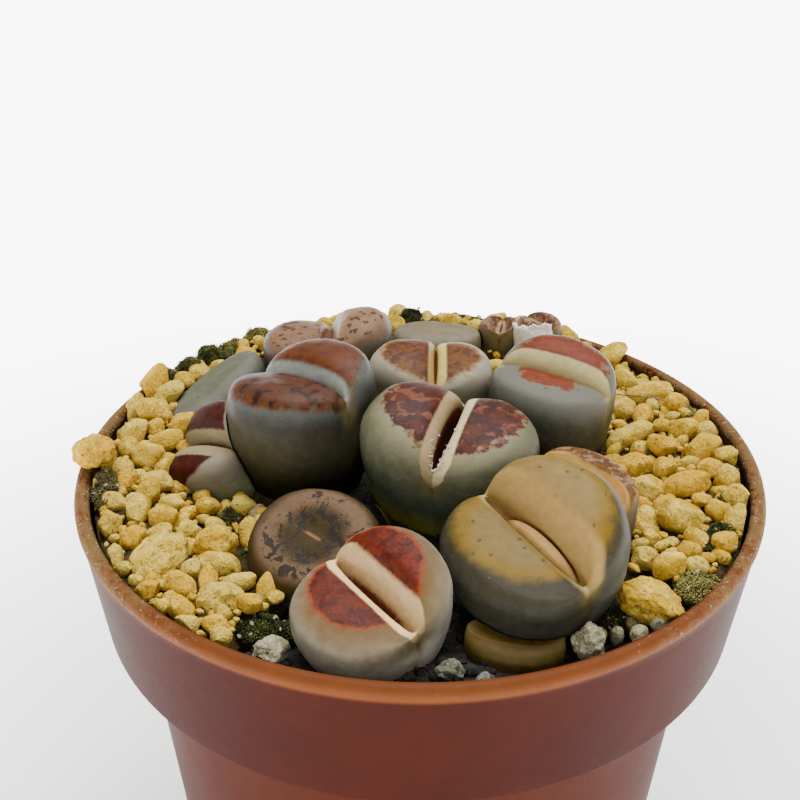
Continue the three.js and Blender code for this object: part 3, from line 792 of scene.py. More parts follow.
    def cracked(self, s: Shader, skin: "Paint", at: Spot) -> "Paint":
        """A ring of dark cracks that widen to stars. The arguments are those of windows.

        Args:
            s: The shader.
            skin: The colour so far.
            at: Where a point lies.

        Returns:
            The colour with the marks.
        """
        outer = at.outer
        ground = s.mix(s.noise(0.4, 2, shift=2).over(0.35, 0.65), tone(self.window[0]), tone(self.window[1]))
        skin = s.mix(outer.over(-4.5, 0.5), skin, ground)
        skin = s.mix(outer.over(0.4, 2.2) * outer.over(5.4, 3.2) * 0.35, skin, tone(self.pale))
        edge = s.cells(0.62, "DISTANCE_TO_EDGE", 1.8, 6)
        spot = s.noise(0.5, 2, 0.8, 5)
        wide = spot.over(0.48, 0.66) * 0.24 + 0.045
        ring = (outer + (spot - 0.5) * 6).over(1.4, 3.0) * (outer + (spot - 0.5) * 3).over(8.0, 7.0)
        cracks = (wide - edge).over(0.0, 0.05) * ring
        pits = s.cells(1.3, "F1", 0.5, 19).over(0.2, 0.08) * s.noise(0.5, 2, shift=8).over(0.45, 0.6)
        skin = s.mix(pits * 0.6, skin, tone(self.speck))
        skin = s.mix(cracks * 0.9, skin, tone(self.island[0]))
        seam = abs(s.value("inner")).over(0.32, 0.08) * abs(s.value("along")).over(1.7, 0.8)
        return s.mix(seam * 0.9, skin, tone(self.cleft))


@dataclass(frozen=True)
class StoneFinish:
    """Porous stone: a ground colour, a warmer one on some stones, paler dust on its faces, and brown pits."""

    ground: str
    dust: str
    pit: str
    warm: str
    spread: float = 0.22

    def material(self, name: str) -> bpy.types.Material:
        """The stone's material; shade, from 0 to 1, sets each stone's own tone.

        Args:
            name: The material's name.

        Returns:
            The material.
        """
        s = Shader(name)
        shade = s.value("shade")
        broad, fine = s.noise(0.45, 3), s.noise(2.2, 4)
        ground = s.mix(shade.over(0.55, 1.0) * 0.6, tone(self.ground), tone(self.warm))
        colour = s.mix((broad * 0.6 + fine * 0.4 - (shade - 0.5) * 0.3).over(0.4, 0.62), ground, tone(self.dust))
        pits = s.cells(1.5, "F1", 0.9).over(0.27, 0.12) * fine.over(0.42, 0.56)
        stain = s.noise(0.8, 4, 0.8, 13).over(0.56, 0.7)
        colour = s.mix(stain * 0.5, colour, tone(self.pit))
        colour = s.mix(pits * 0.75, colour, tone(self.pit))
        lit = shade * (2 * self.spread) + (1 - self.spread)
        height = fine * 0.7 + s.noise(5, 3) * 0.35 + broad * 0.5 - pits * 0.7
        colour = s.dappled(s.scaled(colour, lit), 0.14, 3.2)
        return s.done(colour, 0.95, s.relief(height, 0.5), Specular_IOR_Level=0.2)


@dataclass(frozen=True)
class SoilFinish:
    """Dark crumbly soil: brown crumbs, black fibres and a few pale grains."""

    dark: str = "0b0804"
    brown: str = "20170c"
    pale: str = "6a6148"

    def material(self, name: str) -> bpy.types.Material:
        """The soil's material.

        Args:
            name: The material's name.

        Returns:
            The material.
        """
        s = Shader(name)
        crumbs = s.noise(1.4, 4, 0.5)
        colour = s.mix(crumbs.over(0.4, 0.66), tone(self.dark), tone(self.brown))
        grains = s.cells(1.3, "F1", 0.5).over(0.2, 0.1) * s.noise(0.5, 2, shift=4).over(0.52, 0.6)
        colour = s.mix(grains * 0.8, colour, tone(self.pale))
        return s.done(colour, 0.95, s.relief(crumbs + s.noise(4, 3) * 0.5, 0.6))


@dataclass(frozen=True)
class MossFinish:
    """Moss shoots: dark at the foot, partly older stems and partly painted shade inside the cushion, green to yellow
    green, with brown tips here and there.
    """

    deep: str
    green: str
    tip: str
    brown: str = "2e2410"
    flake: str = "8a8870"

    def material(self, name: str) -> bpy.types.Material:
        """The moss's material; up runs from 0 at a leaf's foot to 1 at its tip, and is 2 on pale flakes.

        Args:
            name: The material's name.

        Returns:
            The material.
        """
        s = Shader(name)
        up = s.value("up")
        shade = s.value("shade")
        green = s.mix(shade, tone(self.green), tone(self.tip))
        # Dark on the mound and at each shoot's foot: older stems, and painted shade inside the cushion.
        colour = s.mix(up.over(0.0, 0.7), tone(self.deep), green)
        colour = s.mix(s.noise(0.5, 2).over(0.5, 0.64) * 0.6, colour, tone(self.brown))
        colour = s.mix(up.over(1.4, 1.6), colour, tone(self.flake))
        return s.done(colour, 0.85, s.relief(s.noise(5, 2), 0.05), Specular_IOR_Level=0.2)


@dataclass(frozen=True)
class PotFinish:
    """Thin moulded plastic of a terracotta colour, with rubbed and spotted sides, a lip painted light, dust and
    painted sheen at the rim's sides, and dirt and painted shade inside.
    """

    body: str = "2d0700"
    worn: str = "360d00"
    # lip is painted light: the rim's upward face is made lighter than the wall.
    lip: str = "5c3012"
    # dust is rim deposit, and also painted sheen at the sides.
    dust: str = "6c5634"
    inside: str = "3e1607"
    # Dirt and painted shade on the inside wall above the soil.
    grime_and_shade: str = "1c180c"
    fleck: str = "b8a88e"
    spot: str = "3a1a0c"

    def material(self, name: str) -> bpy.types.Material:
        """The pot's material.

        Args:
            name: The material's name.

        Returns:
            The material.
        """
        s = Shader(name)
        x, y, z = s.axis("X"), s.axis("Y"), s.axis("Z")
        radius = (x * x + y * y).maths("SQRT")
        broad, fine = s.noise(0.06, 3), s.noise(1.6, 3)
        colour = s.mix(broad.over(0.35, 0.65) * 0.5, tone(self.body), tone(self.worn))
        # Painted light: the lip lighter than the wall.
        colour = s.mix(z.over(87.4, 88.2), colour, tone(self.lip))
        within = (radius - z * 0.06).over(45.6, 44.9)
        colour = s.mix(within, colour, tone(self.inside))
        # Toward the left and right, the rim's dust is partly real deposit and partly painted sheen.
        side = (x * x).maths("SQRT").over(18, 46)
        streak = s.noise(0.35, 4, 0.8, 5) * 0.6 + fine * 0.5 + side * 0.22
        dust_and_sheen = streak.over(0.6, 0.82) * z.over(86.6, 88.4) * side
        colour = s.mix(dust_and_sheen * 0.75, colour, tone(self.dust))
        # Dirt and painted shade on the inside wall, from the soil up to just under the rim.
        grime_and_shade = s.noise(0.5, 4, 0.5, 9).over(0.4, 0.6) * within * z.over(78, 84) * z.over(90.2, 88.2)
        colour = s.mix(grime_and_shade * 0.85, colour, tone(self.grime_and_shade))
        flecks = s.cells(1.3, "F1", 1.2, 3).over(0.2, 0.1) * streak.over(0.54, 0.74)
        flecks = flecks * z.over(87, 88.6) * (side * 0.8 + 0.2)
        colour = s.mix(flecks * 0.8, colour, tone(self.fleck))
        spots = s.cells(0.5, "F1", 0.8).over(0.06, 0.025) * s.noise(0.2, 2).over(0.45, 0.6)
        colour = s.mix(spots * 0.6, colour, tone(self.spot))
        rough = fine * 0.1 + broad * 0.12 + dust_and_sheen * 0.3 + 0.44
        height = s.noise(0.12, 2) * 0.6 + fine * 0.05 + dust_and_sheen * 0.5
        return s.done(s.dappled(colour, 0.06, 0.3), rough, s.relief(height, 0.2), Specular_IOR_Level=0.07)


@dataclass(frozen=True)
class DryFinish:
    """Dry plant tissue: two tones streaked along it."""

    pale: str
    dark: str
    streak: float = 1.2
    clear: float = 0.0

    def material(self, name: str) -> bpy.types.Material:
        """The dry tissue's material.

        Args:
            name: The material's name.

        Returns:
            The material.
        """
        s = Shader(name)
        streaks = s.noise(self.streak, 4, 1.5)
        colour = s.mix(streaks.over(0.4, 0.66), tone(self.pale), tone(self.dark))
        colour = s.dappled(colour, 0.08, 2.5)
        normal = s.relief(streaks + s.noise(4, 2) * 0.3, 0.1)
        return s.done(colour, 0.62, normal, Subsurface_Weight=self.clear, Specular_IOR_Level=0.25)


# Pieces


@dataclass
class Pot:
    """The pot: a tapered wall, a wider collar over a small step, a round lip, and six drain holes.

    Attributes:
        hole_depth: Where a drain hole's rod starts and ends.
        channel: Length, width and depth of the channel from a hole to the edge.
        crease: Degrees between faces from which their edge stays sharp.
    """

    rim_radius: float = 52.5
    height: float = 90
    lip: float = 1.1
    collar_foot: float = 50.3
    collar_top: float = 51.9
    collar_height: float = 21.3
    shoulder: float = 45.2
    foot: float = 40.5
    wall: float = 1.2
    floor: float = 2
    edge: float = 0.8
    sides: int = 288
    holes: int = 6
    hole_ring: float = 27
    hole_radius: float = 3.5
    hole_depth: tuple[float, float] = (-3, 5)
    channel: Triple = (17, 5, 0.8)
    crease: float = 35
    finish: PotFinish = PotFinish()

    def outside(self, height: np.ndarray) -> np.ndarray:
        """The outer radius at a height: straight up the wall, then straight up the collar.

        Args:
            height: Heights above the ground.

        Returns:
            One radius a height.
        """
        step = self.height - self.collar_height
        wall = self.foot + (self.shoulder - self.foot) * height / step
        collar = self.collar_foot + (self.collar_top - self.collar_foot) * (height - step) / self.collar_height
        return np.where(height < step, wall, collar)

    def profile(self) -> np.ndarray:
        """Radius and height round the pot's section, from the middle of the base up, over and down inside.

        Returns:
            One row a corner: radius and height.
        """
        step = self.height - self.collar_height
        e, w = self.edge, self.wall
        turn = np.linspace(0, np.pi / 2, 6)
        foot = np.stack([self.foot - e + e * np.sin(turn), e - e * np.cos(turn)], 1)
        rise = np.linspace(0, 1, 24)[1:, None]
        side = foot[-1] + rise * (np.array([self.shoulder, step - 0.5]) - foot[-1])
        under = np.array([[self.shoulder + 0.15, step - 0.1], [self.shoulder + 0.6, step]])
        heel = np.stack([self.collar_foot - e + e * np.sin(turn), step + e - e * np.cos(turn)], 1)
        bead_angle = np.linspace(-np.pi / 4, 1.25 * np.pi, 16)
        middle = np.array([self.rim_radius - self.lip, self.height - self.lip])
        bead = middle + self.lip * np.stack([np.cos(bead_angle), np.sin(bead_angle)], 1)
        collar = heel[-1] + np.linspace(0, 1, 12)[1:-1, None] * (bead[0] - heel[-1])
        inner_top = np.array([[self.collar_foot - w, step + w], [self.shoulder - w, step + w]])
        inside = bead[-1] + np.linspace(0, 1, 10)[1:-1, None] * (inner_top[0] - bead[-1])
        bottom = np.array([[self.foot - w, self.floor], [0, self.floor]])
        return np.concatenate([[[0, 0]], foot, side, under, heel, collar, bead, inside, inner_top, bottom])

    def build(self) -> bpy.types.Object:
        """The pot, revolved and drilled, with its lip a little uneven as thin plastic is.

        Returns:
            The piece.
        """
        profile = self.profile()
        angle = np.linspace(0, 2 * np.pi, self.sides + 1)[:, None]
        wave = 0.07 * np.sin(3 * angle + 1) + 0.04 * np.sin(7 * angle) - 0.1
        share = smooth(profile[None, :, 1], 60, 90) * (profile[None, :, 0] > 40)
        radius = profile[None, :, 0] + wave * share
        z = profile[None, :, 1] + 0.5 * wave * share * smooth(profile[None, :, 1], 80, 90)
        grid = polar(radius, angle, z)
        made = Shape.of_grid(grid[:, ::-1]).welded().object("pot_shell")
        for cutter in (self.rods(), self.channels()):
            cut = made.modifiers.new("drain", "BOOLEAN")
            cut.operation, cut.solver, cut.object = "DIFFERENCE", "MANIFOLD", cutter
            applied(made)
            bpy.data.objects.remove(cutter)
        made.data.shade_smooth()
        made.data.set_sharp_from_angle(angle=math.radians(self.crease))
        return dressed(made, self.finish.material("moulded_terracotta"), "terracotta_plastic", "pot")

    def around(self, part: Shape, name: str) -> bpy.types.Object:
        """A part repeated evenly about the pot's axis."""
        turns = [360 * k / self.holes for k in range(self.holes)]
        return Shape.joined(*[replace(part, points=turned(part.points, t)) for t in turns]).object(name)

    def rods(self) -> bpy.types.Object:
        """What the drain holes take away: upright rods.

        Returns:
            The cutter.
        """
        angle = np.linspace(0, 2 * np.pi, 33)
        low, high = self.hole_depth
        corners = ((0, low), (self.hole_radius, low), (self.hole_radius, high), (0, high))
        rings = [polar(radius, angle, z) + [self.hole_ring, 0, 0] for radius, z in corners]
        return self.around(Shape.of_grid(np.stack(rings, 1)).welded(), "rods")

    def channels(self) -> bpy.types.Object:
        """What the drain channels take away: low bars from the holes out past the edge.

        Returns:
            The cutter.
        """
        length, wide, deep = self.channel
        outline = np.array([[-1, -1], [1, -1], [1, 1], [-1, 1], [-1, -1]]) * [wide / 2, deep]
        stages = [(0, 0.0), (0, 1.0), (length, 1.0), (length, 0.0)]
        bar = [np.stack([self.hole_ring + x + 0 * outline[:, 0], *(outline.T * s)], 1) for x, s in stages]
        return self.around(Shape.of_grid(np.stack(bar)).welded(), "channels")


def applied(made: bpy.types.Object) -> None:
    """Bakes an object's modifiers into its mesh.

    Args:
        made: The object.
    """
    bpy.context.view_layer.update()
    finished = bpy.data.meshes.new_from_object(made.evaluated_get(bpy.context.evaluated_depsgraph_get()))
    made.modifiers.clear()
    made.data = finished


def dressed(made: bpy.types.Object, material: bpy.types.Material, slot: str, *nodes: str) -> bpy.types.Object:
    """Finishes a piece.

    Args:
        made: The piece.
        material: What it is finished in.
        slot: The record's material slot; not used.
        nodes: The CAD nodes that it stands for.

    Returns:
        The piece.
    """
    made.data.materials.clear()
    made.data.materials.append(material)
    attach(made, "root")
    if nodes:
        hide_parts(*nodes)
    log.info("%s: %d faces, %s", made.name, len(made.data.polygons), material.name)
    return made


@dataclass
class Ground:
    """The levels of the soil and of the grit's bed, and the arc round the clump on which the grit lies."""

    level: float = 82
    grit_level: float = 84.6
    inner: float = 21
    start: float = -42
    end: float = 239

    def soil(self, x: np.ndarray, y: np.ndarray) -> np.ndarray:
        """The soil's height: a low crown, a rise at the front wall, and a slow wave both ways.

        Args:
            x: Distances from the middle to the right.
            y: Distances from the middle to the back.

        Returns:
            One height a spot.
        """
        crown = 1.6 * (1 - smooth(np.hypot(x, y), 0, 30))
        front = 2.4 * smooth(-y, 34, 44)
        return self.level + crown + front + 0.35 * np.sin(0.35 * x) * np.cos(0.31 * y + 0.6)

    def bed(self, x: np.ndarray, y: np.ndarray) -> np.ndarray:
        """The grit bed's height: level, banked against the wall, and higher at the back.

        Args:
            x: Distances from the middle to the right.
            y: Distances from the middle to the back.

        Returns:
            One height a spot.
        """
        back_left = 1.3 * smooth(-x, 20, 40) * smooth(y, -2, 14)
        wall = (2.5 + 0.7 * smooth(x, 0, 30) + back_left) * smooth(np.hypot(x, y), 30, 46)
        return self.grit_level + wall + 2.8 * smooth(y, 26, 44)

    def on_arc(self, x: np.ndarray, y: np.ndarray, clear: float) -> np.ndarray:
        """Whether a spot lies on the grit's arc."""
        angle = np.degrees(np.arctan2(y, x)) - self.start
        return (angle % 360 < self.end - self.start) & (np.hypot(x, y) > self.inner + clear)


@dataclass(frozen=True)
class LeafPair:
    """One body: two fleshy leaves grown together, with the fissure between them.

    Attributes:
        at: The middle at ground level.
        turn: The fissure's angle from +Y.
        left, right, reach: Half widths of the leaves, and half length along the fissure.
        crest: Heights of the two leaves.
        saddle: Height at the fissure's ends.
        lean, toward: The tilt, and the azimuth it tilts to.
        gap, cleft: The fissure's width and depth.
        notch: How far its ends cut in.
        girth: Share of the full width at ground level.
        lip: How round the fissure's edges are.
        root: How deep the body stands.
        slit: Half length of a fissure that shows only in the middle.
        dome: How round the top is; 0 is the flattest.
        rows, columns: Points round each leaf and up its section.
    """

    name: str
    at: Triple
    turn: float
    left: float
    right: float
    reach: float
    crest: tuple[float, float]
    saddle: float
    lean: float
    toward: float
    gap: float
    cleft: float
    notch: float
    girth: float
    skin: Skin
    lip: float = 1
    root: float = 12
    slit: float = 0
    dome: float = 0
    rows: int = 49
    columns: int = 76

    SQUARENESS = 2.2
    AT_GROUND, WIDEST, ON_TOP, AT_WALL = 4, 6, 9, 13
    ROLL = ((8.6, 0), (10, 0.14), (11, 0.4), (12, 0.72), (13, 0.9), (14, 0))

    @property
    def plant(self) -> str:
        """The body's name without its first word."""
        return self.name.removeprefix("body_")

    def stations(self, half: float) -> np.ndarray:
        """Share of the half width, share of the height and drop below the crest, up the section.

        The class's own numbers count these rows: where the ground is, the widest place, the start of the
        top and the fissure's wall. ROLL has a row and how far the higher leaf has come down to the lower.

        Args:
            half: The leaf's half width.

        Returns:
            One row a station.
        """
        gap, deep = self.gap, self.cleft
        wall = max(deep * 0.6, 1.5) if deep > 1.5 else deep * 0.6
        brink = (gap / 2 + 1.7) / half
        level = max(0.32, brink + 0.08)
        return np.array(
            [
                (0, -1, 0),
                (0.16, -0.97, 0),
                (0.26, -0.8, 0),
                (0.52, -0.35, 0),
                (self.girth, 0, 0),
                (0.53 + 0.5 * self.girth, 0.3, 0),
                (1, 0.62 - 0.06 * self.dome, 0),
                (0.97, 0.85 - 0.09 * self.dome, 0),
                (0.84, 0.962 - 0.08 * self.dome, 0),
                (max(0.58, level + 0.1), 1 - 0.03 * self.dome, 0),
                (level, 1, 0.1 * self.lip),
                (brink, 1, 0.45 * self.lip),
                ((gap / 2 + 0.6) / half, 1, min(1.5 * self.lip, wall)),
                ((gap / 2 + 0.05) / half, 1, wall),
                (0, 1, deep),
            ]
        )

    def half(self, side: int) -> tuple[np.ndarray, dict[str, np.ndarray]]:
        """One leaf as a grid, before the body leans.

        Rows run round the leaf from one end of the fissure to the other, and columns run up its section.
        Across, a point is the half width times its share times the cosine raised to a power; along, it is
        the half length times the sine raised to that power; its height is the leaf's, which falls from the
        crest to the saddle as the cosine does, less the drop. The higher leaf rolls over to the lower one's
        level before the fissure's wall starts.

        Args:
            side: -1 for the left leaf and 1 for the right one.

        Returns:
            The places, and the values that the skin is set out from.
        """
        a, b = (self.left if side < 0 else self.right), self.reach
        top = self.crest[0 if side < 0 else 1]
        scale = np.array([a, top, 1.0])
        share, rise, drop, order = section_curve(self.stations(a), scale, self.columns).T[:, None]
        angle = np.linspace(-np.pi / 2, np.pi / 2, self.rows)[:, None]
        c, s = np.abs(np.cos(angle)), np.sin(angle)
        c[[0, -1]] = 0
        power = 2 / self.SQUARENESS
        along = np.sign(s) * np.abs(s) ** power
        cut = self.notch * np.exp(-c / 0.28) * np.clip((rise - 0.1) / 0.6, 0, 1)
        rim = b * along * (1 - cut)
        fissure = b * 0.9 * (1 - self.notch) * along
        x = side * a * c**power * share
        y = np.where(order >= self.WIDEST, fissure + (rim - fissure) * share, rim * share)
        middle = smooth(share * a, 4, 0.3) if self.slit else np.clip(order - self.AT_WALL, 0, 1)
        crest = top * (1 - middle) + sum(self.crest) / 2 * middle
        higher = 0 if self.slit else top - min(self.crest)
        rolled = np.interp(order, *np.transpose(self.ROLL)) * higher
        height = self.saddle + (crest - self.saddle) * c**0.8
        if self.slit:
            drop = drop * np.exp(-((y / self.slit) ** 4)) * (self.slit > 0.1)
        fall = drop * c**0.5 + rolled * c**0.8
        z = np.where(rise > 0, rise * height - fall, rise * self.root)
        x[:, -1] = 0
        square = self.SQUARENESS
        q = ((np.abs(x) / a) ** square + (np.abs(y) / b) ** square) ** (1 / square)
        on_top = np.clip((rise - 0.62) / 0.2, 0, 1)
        outer = (1 - q) * (a + b) / 2 * on_top - np.maximum(0, 0.93 - rise) * top
        lower = self.saddle + (min(self.crest) - self.saddle) * c**0.8
        depth = np.maximum(0, lower - z) * (order > self.ON_TOP)
        values = {"inner": x + 0 * rise, "outer": outer, "depth": depth, "along": y}
        return np.stack([x, y, z], -1), values

    def placed(self, points: np.ndarray) -> np.ndarray:
        """Points of the body where it grows."""
        return leaned(turned(points, self.turn), self.lean, self.toward) + self.at

    def surface(self) -> Shape:
        """Both leaves as one closed surface, slightly uneven, before the body is placed.

        Returns:
            The surface, with the values that the skin is set out from.
        """
        left, left_values = self.half(-1)
        right, right_values = self.half(1)
        for row in (0, -1):
            right[row] = left[row]
        right[:, 0], right[:, -1] = left[:, 0], left[:, -1]
        right_values = {name: value[::-1] for name, value in right_values.items()}
        whole = Shape.joined(Shape.of_grid(left, **left_values), Shape.of_grid(right[::-1], **right_values)).welded()
        seed = self.at[0] * 0.37 + self.at[1]
        lumps = 0.22 * fractal(whole.points * 0.16 + seed, 3, 2) + 0.03 * fractal(whole.points * 0.9, 5, 2)
        quiet = smooth(whole.values["depth"], 1.5, 0.3)
        return whole.swollen((lumps - 0.1) * quiet)

    def shape(self, opened: Callable[[np.ndarray], np.ndarray] | None = None) -> Shape:
        """The surface where the body grows, after its fissure is opened for what swells in it, if anything.

        Args:
            opened: Moves the points before the body leans.

        Returns:
            The surface in its place.
        """
        whole = self.surface()
        points = opened(whole.points) if opened else whole.points
        return replace(whole, points=self.placed(points))

    def build(self, opened: Callable[[np.ndarray], np.ndarray] | None = None) -> bpy.types.Object:
        """The body, dressed in its skin."""
        made = self.shape(opened).object("plant_" + self.plant)
        return dressed(made, self.skin.material("skin_" + self.plant), "leaf_" + self.plant, self.name)


def pressed(softer: bpy.types.Object, firmer: bpy.types.Object) -> None:
    """Pushes what lies inside the firmer body out to its surface.

    Args:
        softer: The body that gives way.
        firmer: The body that keeps its form.
    """
    wrap = softer.modifiers.new("pressed", "SHRINKWRAP")
    wrap.target = firmer
    wrap.wrap_method = "NEAREST_SURFACEPOINT"
    wrap.wrap_mode = "OUTSIDE"
    wrap.offset = GAP * METRES
    applied(softer)


@dataclass(frozen=True)
class StoneKind:
    """Broken stone: a ball drawn in to flat breaks, then roughened.

    Attributes:
        planes: How many breaks it has.
        sharp: How sharp the edges between them are.
        rough: How rough it is, as a share of its half size.
        nearest, varied: How near its middle a break may come, and how much farther out it may be.
    """

    planes: int = 11
    sharp: float = 26
    rough: float = 0.05
    nearest: float = 0.74
    varied: float = 0.2

    def net(self, level: int, half: np.ndarray, seeds: np.ndarray) -> tuple[np.ndarray, np.ndarray]:
        """Several stones on one net of faces.

        Each direction reaches to the nearest break: its distance over the cosine between them. The breaks'
        directions are spread evenly over a ball and shaken by the seed.

        Args:
            level: How fine the net is.
            half: Half sizes, one row a stone.
            seeds: One seed a stone.

        Returns:
            Places by stone and corner, and the faces of one stone.
        """
        points, faces = ball(level)
        k = np.arange(self.planes)
        height = 1 - 2 * (k + 0.5) / self.planes
        ring = np.sqrt(1 - height**2)
        angle = k * GOLDEN + seeds[:, None]
        normal = unit(polar(ring, angle, height) + 0.5 * shaken(seeds[:, None], k, k + 40, k + 80))
        distance = self.nearest + self.varied * draw(seeds[:, None], k + 120)
        facing = np.einsum("vi,npi->nvp", points, normal)
        reach = np.where(facing > 0.3, distance[:, None] / np.maximum(facing, 0.3), 9)
        reach = (np.sum(reach**-self.sharp, -1) + 1) ** (-1 / self.sharp)
        rough = fractal(points[None] * 2.3 + seeds[:, None, None] * 1.7, 2, 3)
        reach *= 1 + self.rough * rough
        return points[None] * reach[..., None] * half[:, None], faces


BROKEN = StoneKind(planes=9, sharp=48, rough=0.045)


@dataclass(frozen=True)
class LooseStone:
    """One larger stone that lies loose, as the CAD node of the same name.

    Attributes:
        fills: Share of its half size that a broken stone reaches.
    """

    name: str
    at: Triple
    size: Triple
    turn: float
    seed: int
    slot: str
    finish: StoneFinish
    fills: float = 0.97

    def build(self) -> bpy.types.Object:
        """The stone, dressed.

        Returns:
            The piece.
        """
        half = np.array([self.size]) / 2 / self.fills
        points, faces = StoneKind(sharp=40, rough=0.11).net(4, half, np.array([float(self.seed)]))
        shape = Shape(turned(points[0], self.turn) + self.at, faces)
        shape = shape.swollen(0.13 * fractal(shape.points * 1.3, 4, 3))
        shape.values["shade"] = np.full(len(shape.points), draw(self.seed, 9))
        made = shape.object(self.name.replace("stone_", "loose_") + "_rock", 60)
        return dressed(made, self.finish.material("stone_" + self.name), self.slot, self.name)


YELLOW = StoneFinish("b39025", "d5b952", "5e410d", "b68921")
GREY = StoneFinish("56564a", "7c7c6e", "2a2820", "64604a")
PUMICE = StoneFinish("7c7654", "a8a284", "3c3a20", "7c6c48")

# Small stones between the larger ones: x, y, z, length, width, height.
STRAY_STONES = np.array(
    [
        (-24.6, -14.2, 85.4, 4.4, 3, 2.6), (-24.4, -10.6, 85, 3.4, 3.2, 3.4), (-21.8, -31.2, 85.4, 3.2, 1.9, 2),
        (24.9, -37.6, 85, 2.2, 1.8, 3), (27.4, -34.6, 84.6, 2.4, 2, 2), (22.8, -33.2, 84.2, 2.4, 2.2, 2),
        (-27.6, -35.6, 85.4, 2.8, 2.2, 2.2), (31, -38, 85, 1.8, 1.6, 1.4),
        (27.4, -38.4, 86, 3.2, 2.4, 2.6), (30.4, -36.8, 86.4, 2.8, 2.2, 2.4), (22.6, -37.4, 85.2, 2.2, 1.8, 2),
    ]
)  # fmt: skip

LOOSE_STONES = (
    LooseStone("stone_on_rim", (-49.6, -4.2, 92.1), (6.6, 5.6, 5.4), 15, 44, "ochre_stone", YELLOW),
    LooseStone("stone_flat_left", (-36, -24.3, 87.2), (10.5, 7.2, 5.4), 75, 8, "ochre_stone", YELLOW),
    LooseStone("stone_round_left", (-28.7, -21.2, 87.4), (6.2, 5.4, 5.8), 30, 12, "ochre_stone", YELLOW),
    LooseStone("stone_rough_left", (-26.6, -33.2, 87.2), (6.8, 5, 5), 10, 17, "ochre_stone", YELLOW),
    LooseStone("stone_corner_right", (29.4, -33.7, 87.4), (9.5, 6, 5.6), -40, 23, "ochre_stone", YELLOW),
    LooseStone("pumice_left", (-18.9, -41.6, 86), (4.8, 4, 3.8), 20, 31, "grey_stone", PUMICE),
    LooseStone("pumice_right", (20.8, -40.6, 86.8), (4.4, 4.2, 5.2), 60, 37, "grey_stone", PUMICE),
    LooseStone("pebble_front_grey", (3.4, -44.6, 85.6), (3.8, 3, 3), 0, 41, "grey_stone", GREY),
    LooseStone("pebble_front_dark", (7.4, -46.3, 85.4), (2.8, 2.4, 2.6), 40, 43, "grey_stone", GREY),
)

# The grit's larger stones: x, y, length, width, height and the turn of the length.
GRIT_STONES = np.array(
    [
        (-46.4, 7, 5.4, 4.2, 3.8, 30), (-43, 0.8, 6.4, 4.6, 4.8, -35), (-39.6, -1.6, 4.6, 3.2, 4.2, 80),
        (-44, 12.6, 5.6, 4.8, 4.6, 20), (-44.8, -6.2, 3.6, 3.2, 3.4, 60), (-40.8, -8.8, 4.2, 3.2, 3.8, 75),
        (-45, -11.6, 3.6, 3, 3.2, 10), (-37.6, -14.8, 5.2, 3.6, 3.8, -20), (-33.6, -17.4, 3.4, 3, 3.2, 40),
        (-40.6, -20.6, 3.6, 3.4, 3.4, 0), (-44.4, -17.4, 4, 3, 3.6, 70), (-31, -27, 3.6, 2.6, 3.2, 65),
        (-31.8, -31, 4, 3.6, 3.4, -25), (-36, -32, 3.2, 2.6, 2.8, 15), (-30.8, -36, 4, 3, 3.2, -35),
        (-25.8, -38.8, 3.6, 2.8, 2.8, -10), (35.4, 9.4, 7.8, 4, 4, 10),
        (34.8, 1, 7.4, 3.8, 3.8, -10), (39.8, 4.6, 6, 4, 4, 20), (44.8, 1.4, 5.6, 4.8, 4.8, 5),
        (47, 7, 3.8, 3.4, 3.6, 60), (45, -17.8, 4.2, 3.4, 4.2, 65), (46.6, -7, 4.4, 3.6, 4.4, 80),
        (44.4, 16.2, 4.4, 4, 4.2, 45),
        (40.4, -7.4, 6.8, 4.4, 4, -5), (35, -6.4, 6.2, 4.6, 4.4, 15), (37.6, -16.4, 6.8, 5.2, 5, -15),
        (43.4, -15.6, 4.2, 3.8, 3.8, 0), (46.4, -12.4, 4.6, 3.8, 4.8, 75), (32.8, -19.6, 3.2, 3, 3, 30),
        (30.8, -24.6, 3.6, 3.2, 3.2, 0), (38.6, -22, 3.8, 3.2, 3.2, -20), (33.4, -27.6, 4.6, 3.6, 3.6, 20),
        (40.6, 20.4, 7.4, 4.4, 4.2, -5), (35.6, 17, 4.4, 3.8, 3.8, 15), (35.4, 32.4, 7.6, 4.6, 4, 35),
        (20.6, 44.2, 3.8, 3, 3, -25), (28.8, 38.6, 4.6, 3.6, 3.6, -50), (25.6, 42.4, 3.6, 2.8, 3, -40),
        (-43, 19, 5.4, 4.2, 4, 40), (-45.8, 20.8, 6.8, 5, 6.4, 60), (-47.4, 13.4, 4.6, 3.4, 4.4, 70),
    ]
)  # fmt: skip


